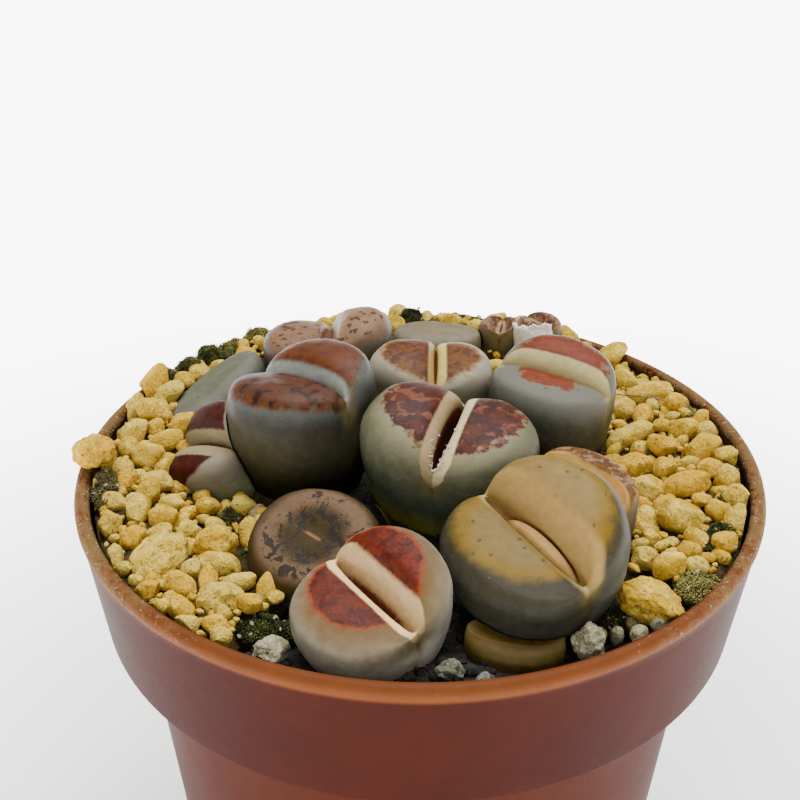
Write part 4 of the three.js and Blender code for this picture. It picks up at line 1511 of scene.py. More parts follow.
@dataclass(frozen=True)
class MossPatch:
    """A patch of moss: an uneven mound set with leafy shoots and a few pale flakes.

    Attributes:
        node: The CAD node that it stands for, if any.
        dense: Shoots for each square millimetre of two of its sections.
        flakes: How many flakes lie on it.
    """

    name: str
    at: Triple
    half: Triple
    turn: float
    seed: int
    finish: MossFinish
    node: str = ""
    dense: float = 24
    flakes: int = 5

    def mound(self, out: np.ndarray, share: float) -> np.ndarray:
        """Places on the lumpy mound: the half sizes times a share, times one plus noise of the direction."""
        lump = 1 + 0.3 * fractal(out * 1.9 + self.seed * 1.7, self.seed, 2)
        return turned(out * lump[:, None] * np.array(self.half) * share, self.turn) + self.at

    def spots(self, count: int, low: float, seed: float) -> np.ndarray:
        """Directions spread evenly over the top of a ball by golden turns, down to a height.

        Args:
            count: How many.
            low: The height of the last, from -1 to 1.
            seed: The first one's turn.

        Returns:
            One direction a row.
        """
        k = np.arange(count)
        high = 1 - (1 - low) * (k + 0.5) / count
        ring = np.sqrt(np.maximum(0, 1 - high**2))
        return polar(ring, k * GOLDEN + seed, high)

    def shoots(self) -> Shape:
        """Shoots all over the mound: each is a whorl of five leaves, narrow diamonds that rise and bend out.

        Returns:
            The leaves, with up and shade.
        """
        count = int(self.dense * (self.half[0] * self.half[1] + self.half[2] * self.half[0]))
        out = self.spots(count, -0.3, self.seed)
        k = np.arange(count)
        size = (0.3 + 0.45 * draw(k, self.seed))[:, None, None]
        axis = unit(out + 0.9 * shaken(k, 21, 22, 23) + [0, 0, 0.5])
        one = unit(np.cross(axis, [0.2, 0.3, 0.93]))
        two = np.cross(axis, one)
        leaf = np.arange(5) * (2 * np.pi / 5)
        beside = one[:, None] * np.cos(leaf)[None, :, None] + two[:, None] * np.sin(leaf)[None, :, None]
        across = np.cross(beside, axis[:, None])
        base = np.broadcast_to(self.mound(out, 0.83)[:, None], beside.shape)
        middle = base + size * (0.45 * beside + 0.6 * axis[:, None])
        tip = base + size * (0.9 * beside + 0.85 * axis[:, None])
        wide, thick = 0.2 * size * across, 0.08 * size * (beside - axis[:, None])
        corners = np.stack([base, middle - wide, middle + thick, middle + wide, tip, middle - thick], 2)
        net = np.array([[0, 2, 1], [0, 3, 2], [1, 2, 4], [2, 3, 4], [0, 1, 5], [0, 5, 3], [1, 4, 5], [5, 4, 3]])
        leaves = Shape.of_copies(corners.reshape(-1, 6, 3), net)
        shade = np.repeat(draw(k, 24) ** 2, 30)
        leaves.values = {"up": np.tile([0, 0.6, 0.6, 0.6, 1, 0.5], count * 5), "shade": shade}
        return leaves

    def pale_flakes(self) -> Shape:
        """Flat flakes that lie on the shoots.

        Returns:
            The flakes, with up and shade.
        """
        k = np.arange(self.flakes) + self.seed * 7.0
        size = (0.12 + 0.26 * draw(k, 31))[:, None] * [1.5, 0.8, 0.35]
        points, faces = StoneKind(rough=0.2).net(1, size, k)
        points = leaned(turned(points, 360 * draw(k, 32)[:, None]), 25, 250)
        points = points + self.mound(self.spots(self.flakes, 0.2, self.seed + 2), 1.06)[:, None]
        return Shape.of_copies(points, faces, up=2 + 0 * k, shade=k * 0)

    def build(self) -> bpy.types.Object:
        """The mound, its shoots and its flakes, as one piece.

        Returns:
            The piece.
        """
        points, faces = ball(3)
        values = {"up": np.zeros(len(points)), "shade": np.zeros(len(points))}
        mound = Shape(self.mound(points, 0.86), faces, values)
        made = Shape.joined(mound, self.shoots(), self.pale_flakes()).object(self.name)
        return dressed(made, self.finish.material("moss_" + self.name), "moss", *([self.node] if self.node else []))


DARK_MOSS = MossFinish("080a04", "1e240c", "585c24")
GREEN_MOSS = MossFinish("14160a", "3a3e1a", "74723a")
PALE_MOSS = MossFinish("3a3618", "767038", "a69e58")
OLIVE_MOSS = MossFinish("241c0e", "4c4422", "7c744a")

CUSHIONS = (
    MossPatch("mossy_cushion_back", (-0.5, 46.8, 90.2), (3.5, 2.3, 2.5), 0, 5, DARK_MOSS, "moss_cushion_back"),
    MossPatch("mossy_cushion_left", (-34.2, 33.6, 88), (3.4, 3.1, 2.4), 30, 9, GREEN_MOSS, "moss_cushion_left"),
    MossPatch("mossy_cushion_front", (-21.2, -36.3, 84.4), (3.1, 3.4, 1.9), 0, 14, DARK_MOSS, "moss_cushion_front",
              flakes=14),
    MossPatch("mossy_cushion_right", (36.4, -30.6, 86.8), (3, 3.6, 1.7), -40, 19, PALE_MOSS, "moss_cushion_right",
              flakes=8),
)  # fmt: skip

RIM_MOSS = (
    MossPatch("moss_left_rim_1", (-43.9, 24.2, 89.6), (3.2, 1.7, 1.5), 61, 23, OLIVE_MOSS, flakes=2),
    MossPatch("moss_left_rim_2", (-41.2, 28.8, 89.5), (3.2, 1.8, 1.5), 55, 29, GREEN_MOSS, flakes=2),
    MossPatch("moss_left_rim_3", (-37.8, 32.8, 89.6), (2.5, 2.1, 2.3), 48, 31, GREEN_MOSS, flakes=1),
    MossPatch("moss_left_rim_4", (-34.3, 37.2, 89.5), (3.7, 1.7, 1.3), 43, 37, PALE_MOSS, flakes=0),
    MossPatch("moss_left_rim_5", (-30.1, 40.7, 90), (3.1, 1.6, 1.6), 37, 101, PALE_MOSS, flakes=0),
    MossPatch("moss_under_rim_stone", (-47.2, -9, 88.3), (1.9, 4.4, 1.8), 10, 41, OLIVE_MOSS),
    MossPatch("moss_back_right", (8.6, 46.4, 90.3), (5.6, 1.8, 1.5), -10, 43, DARK_MOSS, flakes=0),
    MossPatch("moss_right_rim_1", (45.8, 13.5, 88), (1.5, 3.6, 1.3), 18, 47, PALE_MOSS, flakes=2),
    MossPatch("moss_right_rim_2", (47.4, -3.4, 88), (1.3, 3.4, 1.4), 2, 53, DARK_MOSS, flakes=2),
    MossPatch("moss_right_rim_3", (45.4, -13, 88.2), (1.9, 3.4, 1.3), -12, 59, GREEN_MOSS, flakes=4),
    MossPatch("moss_right_rim_4", (41.8, -21.6, 88.2), (2.2, 3.8, 1.4), -27, 61, DARK_MOSS, flakes=8),
)

FRONT_MOSS = (
    MossPatch("moss_front_left_1", (-24, -20.4, 83.8), (1.6, 3, 1.2), 8, 67, DARK_MOSS, flakes=10),
    MossPatch("moss_front_left_2", (-23.8, -26.2, 83.8), (1.7, 3, 1.2), 4, 71, DARK_MOSS, flakes=12),
    MossPatch("moss_front_left_3", (-23.6, -31.4, 83.8), (2.2, 2.4, 1.3), 0, 73, GREEN_MOSS, flakes=12),
    MossPatch("moss_front_left_4", (-17.4, -35.4, 83.6), (2, 1.6, 1.1), 20, 79, DARK_MOSS, flakes=4),
    MossPatch("moss_tuft_left", (-28, -12.4, 85.6), (1.7, 1.5, 1.2), 0, 83, GREEN_MOSS, flakes=2),
)

PUMICE_MOSS = MossPatch("moss_by_pumice", (25, -34, 84.2), (2.2, 1.6, 1.2), 30, 89, DARK_MOSS, flakes=6)

MOSS = (*CUSHIONS, *RIM_MOSS, *FRONT_MOSS, PUMICE_MOSS)


@dataclass(frozen=True)
class Litter:
    """Small things that lie about: crystals on a lip, root threads, a grass blade and a dry curl."""

    bitten: LeafPair

    def crystals(self) -> bpy.types.Object:
        """White crystals along the near half of a fissure's edges, on points of the body's own surface.

        Returns:
            The piece.
        """
        surface = self.bitten.surface()
        inner, along, depth = (surface.values[n] for n in ("inner", "along", "depth"))
        near = (np.abs(inner) < 1.5) & (along > -8.6) & (along < -1.5) & (depth > 0.1) & (depth < 1.2)
        spots = self.bitten.placed(surface.points[near])
        k = np.arange(150.0)
        spots = spots[(draw(k, 3) * len(spots)).astype(int)]
        size = (0.07 + 0.2 * draw(k, 4) ** 3)[:, None] * [1, 1, 0.8]
        points, faces = StoneKind().net(1, size, k)
        points = points + (spots + 0.35 * shaken(k, 5, 6, 7))[:, None]
        shape = Shape.of_copies(points, faces, shade=draw(k, 9))
        finish = StoneFinish("b8b4a4", "d8d6cc", "a09a86", "bcb4a0")
        return dressed(shape.object("lip_crystals"), finish.material("crystals"), "grey_stone")

    def threads(self) -> bpy.types.Object:
        """Dry root threads: each bends from one spot to another by a level sine and a sine upwards.

        Returns:
            The piece.
        """
        ends = np.array(
            [
                (38, -18.6, 88, 45.4, -14.6, 88.2), (39.4, -21.4, 88, 44.6, -17, 88.6),
                (36.6, -22, 88, 42.6, -23.8, 87.8), (42, -12.4, 88.2, 46.6, -9.4, 88),
                (35.2, 24, 89, 41.2, 12, 88.8), (44.8, -2.6, 88, 47.4, -6.4, 88.2),
                (-20.6, -34, 86.2, -25, -30.6, 85.6), (35, -27.6, 87.6, 40, -26.2, 87.4),
            ]
        )  # fmt: skip
        t = np.linspace(0, 1, 22)[:, None]
        parts = []
        for k, row in enumerate(ends):
            side = np.array([row[1] - row[4], row[3] - row[0], 0]) * (0.2 * draw(k, 2) + 0.08)
            path = row[:3] + (row[3:] - row[:3]) * t + side * np.sin(5 * t + k) + [0, 0, 0.5] * np.sin(np.pi * t)
            parts.append(tube(path, 0.13 + 0 * t[:, 0], 5))
        shape = Shape.joined(*parts)
        finish = DryFinish("8e7e5a", "4a3c22", 0.8)
        return dressed(shape.object("root_threads"), finish.material("dry_roots"), "dry_leaf")

    def blade(self) -> bpy.types.Object:
        """A short grass blade at a body's foot, drawn to a point.

        Returns:
            The piece.
        """
        t = np.linspace(0, 1, 20)[:, None]
        path = np.array([-4.4, -12, 83.2]) + t * [-2.2, 0.2, 4.6] + np.sin(np.pi * t) * [0.5, -0.5, 0.2]
        shape = tube(path, 0.34 * (1 - t[:, 0]) ** 0.7 + 0.03, 7)
        finish = DryFinish("4a4c14", "6a3c18", 0.6)
        return dressed(shape.object("grass_blade"), finish.material("grass"), "moss")

    def curl(self) -> bpy.types.Object:
        """A dry brown curl that leans on a foot.

        Returns:
            The piece.
        """
        t = np.linspace(0, 1, 40)[:, None]
        turn = 4.4 * t
        ring = np.concatenate([0.9 * np.cos(turn), 0.2 * t, 1.1 * np.sin(turn)], 1)
        shape = tube(ring * (1 - 0.4 * t) + [-0.4, -45.6, 86.4], 0.1 + 0.2 * np.sin(np.pi * t[:, 0]), 7)
        finish = DryFinish("3a2412", "1c1008", 0.6)
        return dressed(shape.object("dry_curl"), finish.material("dry_curl"), "dry_leaf")


@dataclass
class Grit:
    """The yellow grit: its dark bed, which shows in the gaps as soil and painted shade, larger stones at their
    places, and smaller ones packed into the gaps.

    Attributes:
        reach, wall: How far out a stone's middle and its side may be.
        fills: Share of its half size that a broken stone reaches.
        taken: Rows of x, y and half size, one array a size of stone.
    """

    ground: Ground
    bodies: tuple[LeafPair, ...]
    finish: StoneFinish = YELLOW
    # The bed is dark: soil between the stones, and painted shade in the gaps.
    bed: StoneFinish = StoneFinish("2c220e", "46381a", "120c04", "30200c")
    reach: float = 48.8
    wall: float = 49.6
    fills: float = 0.9
    taken: list[np.ndarray] = field(default_factory=list)

    def spiral(self, count: int, reach: float, shake: float, seed: float) -> np.ndarray:
        """Spots spread evenly over a disc: the radius grows as the root of the count, by golden turns.

        Args:
            count: How many.
            reach: The disc's radius.
            shake: How far a spot may be moved.
            seed: Picks the moves and the first turn.

        Returns:
            One row a spot: x and y.
        """
        k = np.arange(count)
        r = reach * np.sqrt((k + 0.5) / count)
        spots = polar(r, k * GOLDEN + seed, 0)[:, :2]
        return spots + shake * shaken(k, seed + 31, seed + 32)

    def is_open(self, spots: np.ndarray, clear: float) -> np.ndarray:
        """Whether spots lie on the arc, and off every body, loose stone, moss cushion and front moss.

        Args:
            spots: Rows of x and y.
            clear: How far they keep from the bodies.

        Returns:
            One answer a spot.
        """
        x, y = spots.T
        free = self.ground.on_arc(x, y, clear)
        for body in self.bodies:
            spot = turned(np.stack([x - body.at[0], y - body.at[1], 0 * x], -1), -body.turn)
            half = np.where(spot[..., 0] < 0, body.left, body.right)
            free &= np.hypot(spot[..., 0] / (half + clear), spot[..., 1] / (body.reach + clear)) > 1
        for stone in LOOSE_STONES:
            near = (stone.size[0] + stone.size[1]) / 4 + clear * 0.5
            free &= np.hypot(x - stone.at[0], y - stone.at[1]) > near
        for patch in CUSHIONS:
            free &= np.hypot(x - patch.at[0], y - patch.at[1]) > patch.half[0] * 0.8
        for patch in FRONT_MOSS:
            free &= np.hypot(x - patch.at[0], y - patch.at[1]) > patch.half[1]
        return free

    def packed(self, count: int, sizes: tuple[float, float], clear: float, crowd: float, seed: float) -> np.ndarray:
        """Stones taken one after another where they find room among those already there.

        Args:
            count: How many spots to try.
            sizes: The smallest and the largest half size.
            clear: How far they keep from the bodies.
            crowd: How near two may come, as a share of their half sizes.
            seed: Picks the spots.

        Returns:
            One row a stone: x, y, half size and number.
        """
        spots = self.spiral(count, self.reach, 2.4, seed)
        k = np.arange(count)
        half = sizes[0] + (sizes[1] - sizes[0]) * draw(k, seed + 1)
        rows = np.column_stack([spots, half, k])[self.is_open(spots, clear)]
        there = np.concatenate(self.taken)
        kept = []
        for row in rows:
            away = np.hypot(there[:, 0] - row[0], there[:, 1] - row[1])
            if np.all(away > crowd * (there[:, 2] + row[2])):
                there = np.concatenate([there, row[None, :3]])
                kept.append(row)
        self.taken.append(np.array(kept)[:, :3])
        return np.array(kept)

    def stones(
        self, name: str, level: int, at: np.ndarray, size: np.ndarray, turn: np.ndarray, seeds: np.ndarray
    ) -> bpy.types.Object:
        """Many stones as one piece.

        Args:
            name: The piece's name.
            level: How fine each stone is.
            at: Their middles.
            size: Their lengths, widths and heights.
            turn: The turn of each length from +X.
            seeds: One seed a stone.

        Returns:
            The piece.
        """
        points, faces = BROKEN.net(level, size / 2 / self.fills, seeds)
        tip = (draw(seeds, 7) - 0.5) * 0.8
        points[..., 2] += points[..., 0] * tip[:, None]
        points = turned(points, turn[:, None]) + at[:, None]
        room = self.wall + 2.4 * smooth(points[..., 2], 90.2, 91.2)
        keep_in = np.minimum(1, room / np.hypot(points[..., 0], points[..., 1]))
        points[..., :2] *= keep_in[..., None]
        shape = Shape.of_copies(points, faces, shade=draw(seeds, 3))
        return dressed(shape.object(name, 42), self.finish.material("stone_" + name), "ochre_stone")

    def build(self) -> None:
        """The bed and four sizes of stone."""
        x, y, long, wide, high, turn = GRIT_STONES.T
        at = np.stack([x, y, self.ground.bed(x, y) + high * 0.245], 1)
        self.stones("grit_coarse", 3, at, np.stack([long, wide, high], 1), turn, 50.0 + np.arange(len(x)))
        self.taken.append(np.stack([x, y, (long + wide) / 4], 1))
        for name, level, count, sizes, clear, crowd, seed in (
            ("grit_medium", 2, 1600, (1.5, 2.5), 0.9, 0.8, 2),
            ("grit_small", 1, 3000, (0.85, 1.4), 0.5, 0.78, 5),
            ("grit_fine", 1, 5000, (0.4, 0.75), 0.2, 0.8, 9),
        ):
            x, y, half, k = self.packed(count, sizes, clear, crowd, seed).T
            shares = np.stack([1.9 + 0.9 * draw(k, 62), 1.4 + 0.5 * draw(k, 63), 1.4 + 0.4 * draw(k, 64)], 1)
            lift = half * 0.35 + 0.5 * draw(k, 65)
            at = np.stack([x, y, self.ground.bed(x, y) + lift], 1)
            self.stones(name, level, at, half[:, None] * shares, 360 * draw(k, 66), 100.0 * seed + k)
        self.build_bed()

    def build_bed(self) -> bpy.types.Object:
        """The bed: a slab along the arc, thin at its inner edge and ends, with a grainy top.

        Returns:
            The piece.
        """
        ground = self.ground
        angle = np.radians(np.linspace(ground.start, ground.end, 240))[:, None]
        r = np.linspace(ground.inner, self.wall, 60)[None]
        x, y = r * np.cos(angle), r * np.sin(angle)
        lower = ground.soil(x, y) + 0.5
        from_end = np.minimum(np.arange(len(angle)), np.arange(len(angle))[::-1])[:, None]
        edge = smooth(from_end, 0, 5) * smooth(r, ground.inner, ground.inner + 2)
        grain = 0.5 * fractal(np.stack([x, y, 0 * x], -1) * 0.8, 8, 3)
        upper = lower + 0.9 + edge * (ground.bed(x, y) + grain - lower - 0.9)
        top = np.stack([x, y, upper], -1)
        under = np.stack([x, y, lower], -1)
        ring = np.concatenate([top, under[:, ::-1], top[:, :1]], axis=1)
        ends = [self.cap(ring[0]), self.cap(ring[-1])[:, ::-1]]
        shape = Shape.joined(Shape.of_grid(ring[:, ::-1]), *[Shape.of_grid(e) for e in ends]).welded()
        shape.values["shade"] = np.full(len(shape.points), 0.25)
        made = shape.object("grit_bed_gap_shade")
        return dressed(made, self.bed.material("grit_bed_gap_shade"), "ochre_stone", "yellow_grit")

    def cap(self, ring: np.ndarray) -> np.ndarray:
        """A flat end: the upper edge against the lower one."""
        half = len(ring) // 2
        return np.stack([ring[:half], ring[half : 2 * half][::-1]])


@dataclass
class Soil:
    """The soil: one filled mass up to a crumbly top, and loose crumbs on it.

    Attributes:
        crumbs: How many loose crumbs there are.
        reach, crumb_reach: How far out its top goes, and its crumbs' middles.
        levels: Heights at which its side follows the pot's inside, down to its foot.
    """

    ground: Ground
    pot: Pot
    crumbs: int = 900
    reach: float = 49.5
    crumb_reach: float = 49
    levels: tuple[float, ...] = (80, 75, 70.3, 68.2, 50, 30, 10, 2.3)
    finish: SoilFinish = SoilFinish()

    def build(self) -> None:
        """The mass, which follows the pot's inside down its levels, and then the crumbs."""
        angle = np.linspace(0, 2 * np.pi, self.pot.sides + 1)[:, None]
        r = np.linspace(0, self.reach, 150)[None]
        x, y = r * np.cos(angle), r * np.sin(angle)
        grain = np.stack([x, y, 0 * x], -1)
        high = self.ground.soil(x, y) + 0.35 * fractal(grain * 0.6, 4, 4) + 0.2 * np.abs(fractal(grain * 1.9, 6, 2))
        top = np.stack([x, y, high], -1)
        levels = np.array(self.levels)[None]
        wall = self.pot.outside(levels) - self.pot.wall - GAP - 0.1
        grid = np.concatenate([top, polar(wall, angle, levels), polar(0, angle, levels[:, -1:])], axis=1)
        shape = Shape.of_grid(grid[::-1][:, ::-1]).welded()
        dressed(shape.object("soil_mass"), self.finish.material("soil_mass"), "soil", "potting_soil")
        self.build_crumbs()

    def build_crumbs(self) -> bpy.types.Object:
        """Loose crumbs all over the top, as one piece.

        Returns:
            The piece.
        """
        k = np.arange(self.crumbs)
        r, angle = self.crumb_reach * np.sqrt(draw(k, 5)), 2 * np.pi * draw(k, 6)
        x, y = r * np.cos(angle), r * np.sin(angle)
        half = 0.35 + 0.75 * draw(k, 8) ** 2
        points, faces = StoneKind(rough=0.2).net(1, half[:, None] * [1.2, 1, 0.8], 3000.0 + k)
        at = np.stack([x, y, self.ground.soil(x, y) + half * 0.6], 1)
        shape = Shape.of_copies(turned(points, 360 * draw(k, 9)[:, None]) + at[:, None], faces)
        return dressed(shape.object("soil_crumbs"), self.finish.material("soil_crumbs"), "soil")


@dataclass(frozen=True)
class NewLeaves:
    """The new pair of leaves that swells in the tan body's fissure: a lens on edge, with a slit on top."""

    host: LeafPair
    along: float = -1.5
    rise: float = 7.2
    half: Triple = (1.55, 7.2, 3.7)

    def build(self) -> bpy.types.Object:
        """The lens, dressed.

        Returns:
            The piece.
        """
        u = np.linspace(0, np.pi, 49)[None]
        v = np.linspace(0, 2 * np.pi, 65)[:, None]
        globe = polar(np.sin(u), v, np.cos(u))
        points = globe * self.half + [0, self.along, self.rise]
        slit = np.exp(-((points[..., 0] / 0.3) ** 2)) * smooth(globe[..., 2], 0.5, 0.9)
        points[..., 2] -= 0.25 * slit * smooth(np.abs(globe[..., 1]), 0.9, 0.5)
        shape = Shape.of_grid(points[:, ::-1]).welded()
        shape = replace(shape, points=self.host.placed(shape.points))
        finish = DryFinish("a87c44", "9a6c38", 0.3, 0.2)
        return dressed(shape.object("new_leaves"), finish.material("swelling_leaf"), "new_leaf", "new_leaf_pair")

    def open_for(self, points: np.ndarray) -> np.ndarray:
        """The host's points moved sideways out of the lens, before the host leans.

        Args:
            points: Places on the host.

        Returns:
            The places after the move.
        """
        x, y, z = points[..., 0], points[..., 1], points[..., 2]
        a, b, c = (h + GAP for h in self.half)
        room = 1 - ((y - self.along) / b) ** 2 - ((z - self.rise) / c) ** 2
        least = a * np.sqrt(np.maximum(room, 0))
        moved = np.where(np.abs(x) > 1e-6, np.sign(x) * np.maximum(np.abs(x), least), x)
        return np.stack([moved, y, z], -1)


@dataclass(frozen=True)
class DrySheath:
    """The papery old leaf round the front of the last body's foot."""

    host: LeafPair
    inside: float = 0.4
    outside: float = 0.75
    bottom: float = 88.0
    top: float = 93.9
    facing: float = 250

    def radius(self, azimuth: np.ndarray, height: np.ndarray) -> np.ndarray:
        """The host's radius at an azimuth and height.

        Args:
            azimuth: Directions in degrees.
            height: Heights above the ground.

        Returns:
            One radius a place.
        """
        host = self.host
        angle = np.radians(azimuth - host.turn)
        half = np.where(np.cos(angle) < 0, host.left, host.right)
        power = host.SQUARENESS
        across, along = np.abs(np.cos(angle)) / half, np.abs(np.sin(angle)) / host.reach
        full = (across**power + along**power) ** (-1 / power)
        rise = (height - host.at[2]) / host.crest[0]
        shares, rises, _ = host.stations(host.left)[host.AT_GROUND : host.ON_TOP].T
        return full * np.interp(rise, rises, shares)

    def build(self) -> bpy.types.Object:
        """The sheath: a sheet wrapped on the body, crumpled, with a torn upper edge and a little thickness.

        Returns:
            The piece.
        """
        azimuth = np.linspace(self.facing - 80, self.facing + 42, 60)[:, None]
        up = np.linspace(0, 1, 16)[None]
        rising = 1.8 * smooth(azimuth, self.facing - 70, self.facing + 30)
        torn = self.top + rising + 0.2 * np.sin(azimuth * 0.21) + 0.12 * np.sin(azimuth * 0.8)
        z = self.bottom + (torn - self.bottom) * up
        grain = np.stack([azimuth * 0.12 + 0 * up, z, 0 * z], -1)
        base = self.radius(azimuth, z) + 0.18 * (fractal(grain * 1.1, 6, 2) * 0.5 + 0.5)
        middle = [*self.host.at[:2], 0]
        outer, inner = (polar(base + off, np.radians(azimuth), z) + middle for off in (self.outside, self.inside))
        ring = np.concatenate([outer, inner[:, ::-1], outer[:, :1]], axis=1)
        ends = [np.stack([e[:16], e[16:32][::-1]]) for e in (ring[0], ring[-1][::-1])]
        shape = Shape.joined(Shape.of_grid(ring[:, ::-1]), *[Shape.of_grid(e) for e in ends]).welded()
        finish = DryFinish("efe9dc", "d8cdb6", 0.8)
        made = shape.object("papery_sheath")
        return dressed(made, finish.material("dry_paper"), "dry_leaf", "dry_leaf_sheath")


@dataclass
class Studio:
    """The camera, the lights and the floor.

    Attributes:
        eye, elevation: Where the camera is, and how many degrees it looks down.
        lens, sensor: Its focal length and the width of its sensor.
        near: The nearest that it sees, in metres.
        ambient: How bright the light from all sides is.
        floor_half, floor_drop, floor_glow: The floor's half width, its drop below the pot, and its own light.
    """

    eye: Triple = (-2.88, -140.536, 176.2)
    elevation: float = 28.85
    lens: float = 47.25
    sensor: float = 36
    near: float = 0.005
    ambient: float = 0.3
    floor_half: float = 40000
    floor_drop: float = 0.05
    floor_glow: float = 6.5

    def build(self) -> None:
        """Sets the scene up round the object."""
        camera = bpy.data.cameras.new("camera")
        camera.lens = self.lens
        camera.sensor_width = self.sensor
        camera.clip_start = self.near
        eye = bpy.data.objects.new("camera", camera)
        eye.location = [v * METRES for v in self.eye]
        eye.rotation_euler = (math.radians(90 - self.elevation), 0, 0)
        bpy.context.scene.collection.objects.link(eye)
        bpy.context.scene.camera = eye
        self.light("sky", (0.12, 0.42, 1.0), 7.0, 50)
        self.light("fill", (-0.2, -1.0, 0.6), 2.0, 70)
        world = bpy.data.worlds.new("studio")
        world.use_nodes = True
        world.node_tree.nodes["Background"].inputs[0].default_value = (1, 1, 1, 1)
        world.node_tree.nodes["Background"].inputs[1].default_value = self.ambient
        bpy.context.scene.world = world
        self.build_floor()

    def build_floor(self) -> None:
        """A wide sheet just under the pot, which glows white away from the pot's shadow."""
        span = np.linspace(-self.floor_half, self.floor_half, 5)
        x, y = np.meshgrid(span, span, indexing="ij")
        floor = Shape.of_grid(np.stack([x, y, 0 * x - self.floor_drop], -1)).object("floor")
        s = Shader("floor_paper")
        x, y = s.axis("X"), s.axis("Y")
        bright = (x * x + y * y).maths("SQRT").over(55, 300)
        glow = s.mix(bright, (0.0, 0.0, 0.0), (1.0, 1.0, 1.0))
        sheet = s.done(tone("fdfcfa"), 0.9, Emission_Color=glow, Emission_Strength=self.floor_glow)
        floor.data.materials.append(sheet)

    def light(self, name: str, toward: Triple, power: float, spread: float) -> None:
        """A very soft light from a direction, of so many watts a square metre, spread over so many degrees.

        Args:
            name: The light's name.
            toward: The direction to it.
            power: Watts a square metre.
            spread: Degrees across.
        """
        light = bpy.data.lights.new(name, "SUN")
        light.energy = power
        light.angle = math.radians(spread)
        made = bpy.data.objects.new(name, light)
        x, y, z = toward
        made.rotation_euler = (math.atan2(math.hypot(x, y), z), 0, math.atan2(x, -y))
        made.location = [0.5 * v for v in toward]
        bpy.context.scene.collection.objects.link(made)


# Darker feet here are painted shade where the bodies meet the soil; the cream brick body's pale flank and foot, and
# the maroon body's pale foot, are painted light.
RUST = Skin("393625", "2b2823", "161406", "50554f", ("3f2414", "441f0f"), ("190603", "542806"), "4b290e",
            ("7a6452", "7c7e75"), "58230e", (0.8, 2.0), (0.3, 1.0), 1.5, 0.5, 0.45, 0.5, pale="502709",
            pales=0.45, dashes=0.3, fade=0.8)  # fmt: skip
MAROON = Skin("3a4133", "51513d", "797427", "787355", ("411301", "411301"), ("2a0501", "2a0501"), "5a2504",
              ("947e5c", "b6a97c"), "59270e", (3.2, 3.4), (2.1, 2.4), 3.2, 0.42, 0.5, 0.22, 1.5, 0.24, "6f3c22",
              0.15, 0.35, 4.0)  # fmt: skip
TAN = Skin("56544a", "36342a", "3c2e18", "2c2614", ("6a572a", "755f30"), ("2e2305", "31290b"), "6c5306",
           ("a28f60", "8a6f3d"), "674013", (3.7, 1.5), (0.9, 3.8), 1.0, soft=0.8, dip=1.7, tilt=0.18, fade=2.4,
           face=Face.DOTTED)  # fmt: skip
BRICK = Skin("b4aea0", "8a8472", "a0957e", "5c4522", ("501701", "4f1501"), ("3a0801", "3a0801"), "7a2702",
             ("d6b380", "ae9268"), "4a1a0a", (3.6, 3.1), (1.9, 2.0), 0.9, 0.6, 0.3, 0.25, 2.0, 0.2,
             pale="641c02", dashes=0.8, fade=1.7, speck="28120e")  # fmt: skip
BROWN = Skin("5a4e38", "445453", "030303", "3c3010", ("33260a", "30230a"), ("1c1612", "1c1612"), "503c16",
             ("695035", "695035"), "7a5438", band=(-2, -2), face=Face.CRACKED, gloss=0.62)  # fmt: skip
RED = Skin("6b6f4f", "5d594e", "282214", "786f5c", ("3a0c07", "3a0c07"), ("270502", "270502"), "491b0d",
           ("837556", "837556"), "532617", (-2.2, -0.4), (3.6, 1.4), 0.9, 0.6, 0.4, 0.15, 1.3, 1.2,
           pale="350904", dashes=0.3)  # fmt: skip
GREY_PLAIN = Skin("2a2822", "3e3c36", "201f16", "56554a", ("545544", "515242"), ("3f3d35", "3f3d35"), "56554a",
                  ("58554b", "58554b"), "393529", band=(-2, -2), teeth=0.6, face=Face.DOTTED)  # fmt: skip
LILAC = Skin("3c3a34", "56544c", "2f2b1f", "605042", ("6e5038", "75573c"), ("522e21", "522e21"), "6b523e",
             ("ab9c85", "ab9c85"), "53311e", (1.4, 1.4), (1.2, 1.2), soft=0.6, speck="1c0e0a",
             face=Face.SPOTTED)  # fmt: skip
ORANGE = Skin("6c7d5d", "767162", "2f2b1f", "88836e", ("4f2601", "542e02"), ("341401", "3b1b01"), "774a05",
              ("9b7d3f", "b8a35b"), "533117", (2.6, 2.6), (1.1, 1.7), 1.3, 0.6, 0.4, 0.4, pale="643a03",
              pales=0.4, dashes=0.3)  # fmt: skip
GREY_BACK = Skin("56524a", "676259", "322e22", "665e46", ("685d43", "655b42"), ("4f483e", "4f483e"), "66614f",
                 ("6b6459", "6b6459"), "443a2d", band=(-2, -2), teeth=0.6, face=Face.DOTTED)  # fmt: skip
CORAL = Skin("45453a", "424438", "3a3428", "5b594f", ("5c1d01", "5c1d01"), ("642503", "642503"), "6b3707",
             ("93855c", "a29466"), "482c17", (5.2, 2.6), (0.7, 2.4), 2.4, 0.6, 0.4, pale="6d2c03",
             pales=0.25)  # fmt: skip
PINK = Skin("5b4f43", "6b5c51", "3a2e1f", "7a604f", ("5e3901", "5e3901"), ("472701", "472701"), "786a07",
            ("b78946", "b78946"), "532e17", (0.6, 0.6), (2.2, 2.2), 0.9)  # fmt: skip
SMALL = Skin("48402a", "5c5236", "2e2218", "6e6244", ("62402c", "62402c"), ("4a261c", "4a261c"), "6a4c38",
             ("c4a078", "c4a078"), "4a2c1c", (0.4, 0.4), (0.9, 0.9), 0.8, 0.8, 0.4)  # fmt: skip
OLIVE = Skin("372c0d", "453913", "191104", "4d3f19", ("423213", "423213"), ("221806", "221806"), "584319",
             ("4d3f19", "4d3f19"), "2d1c06", teeth=1.4, face=Face.DOTTED, gloss=0.45)  # fmt: skip

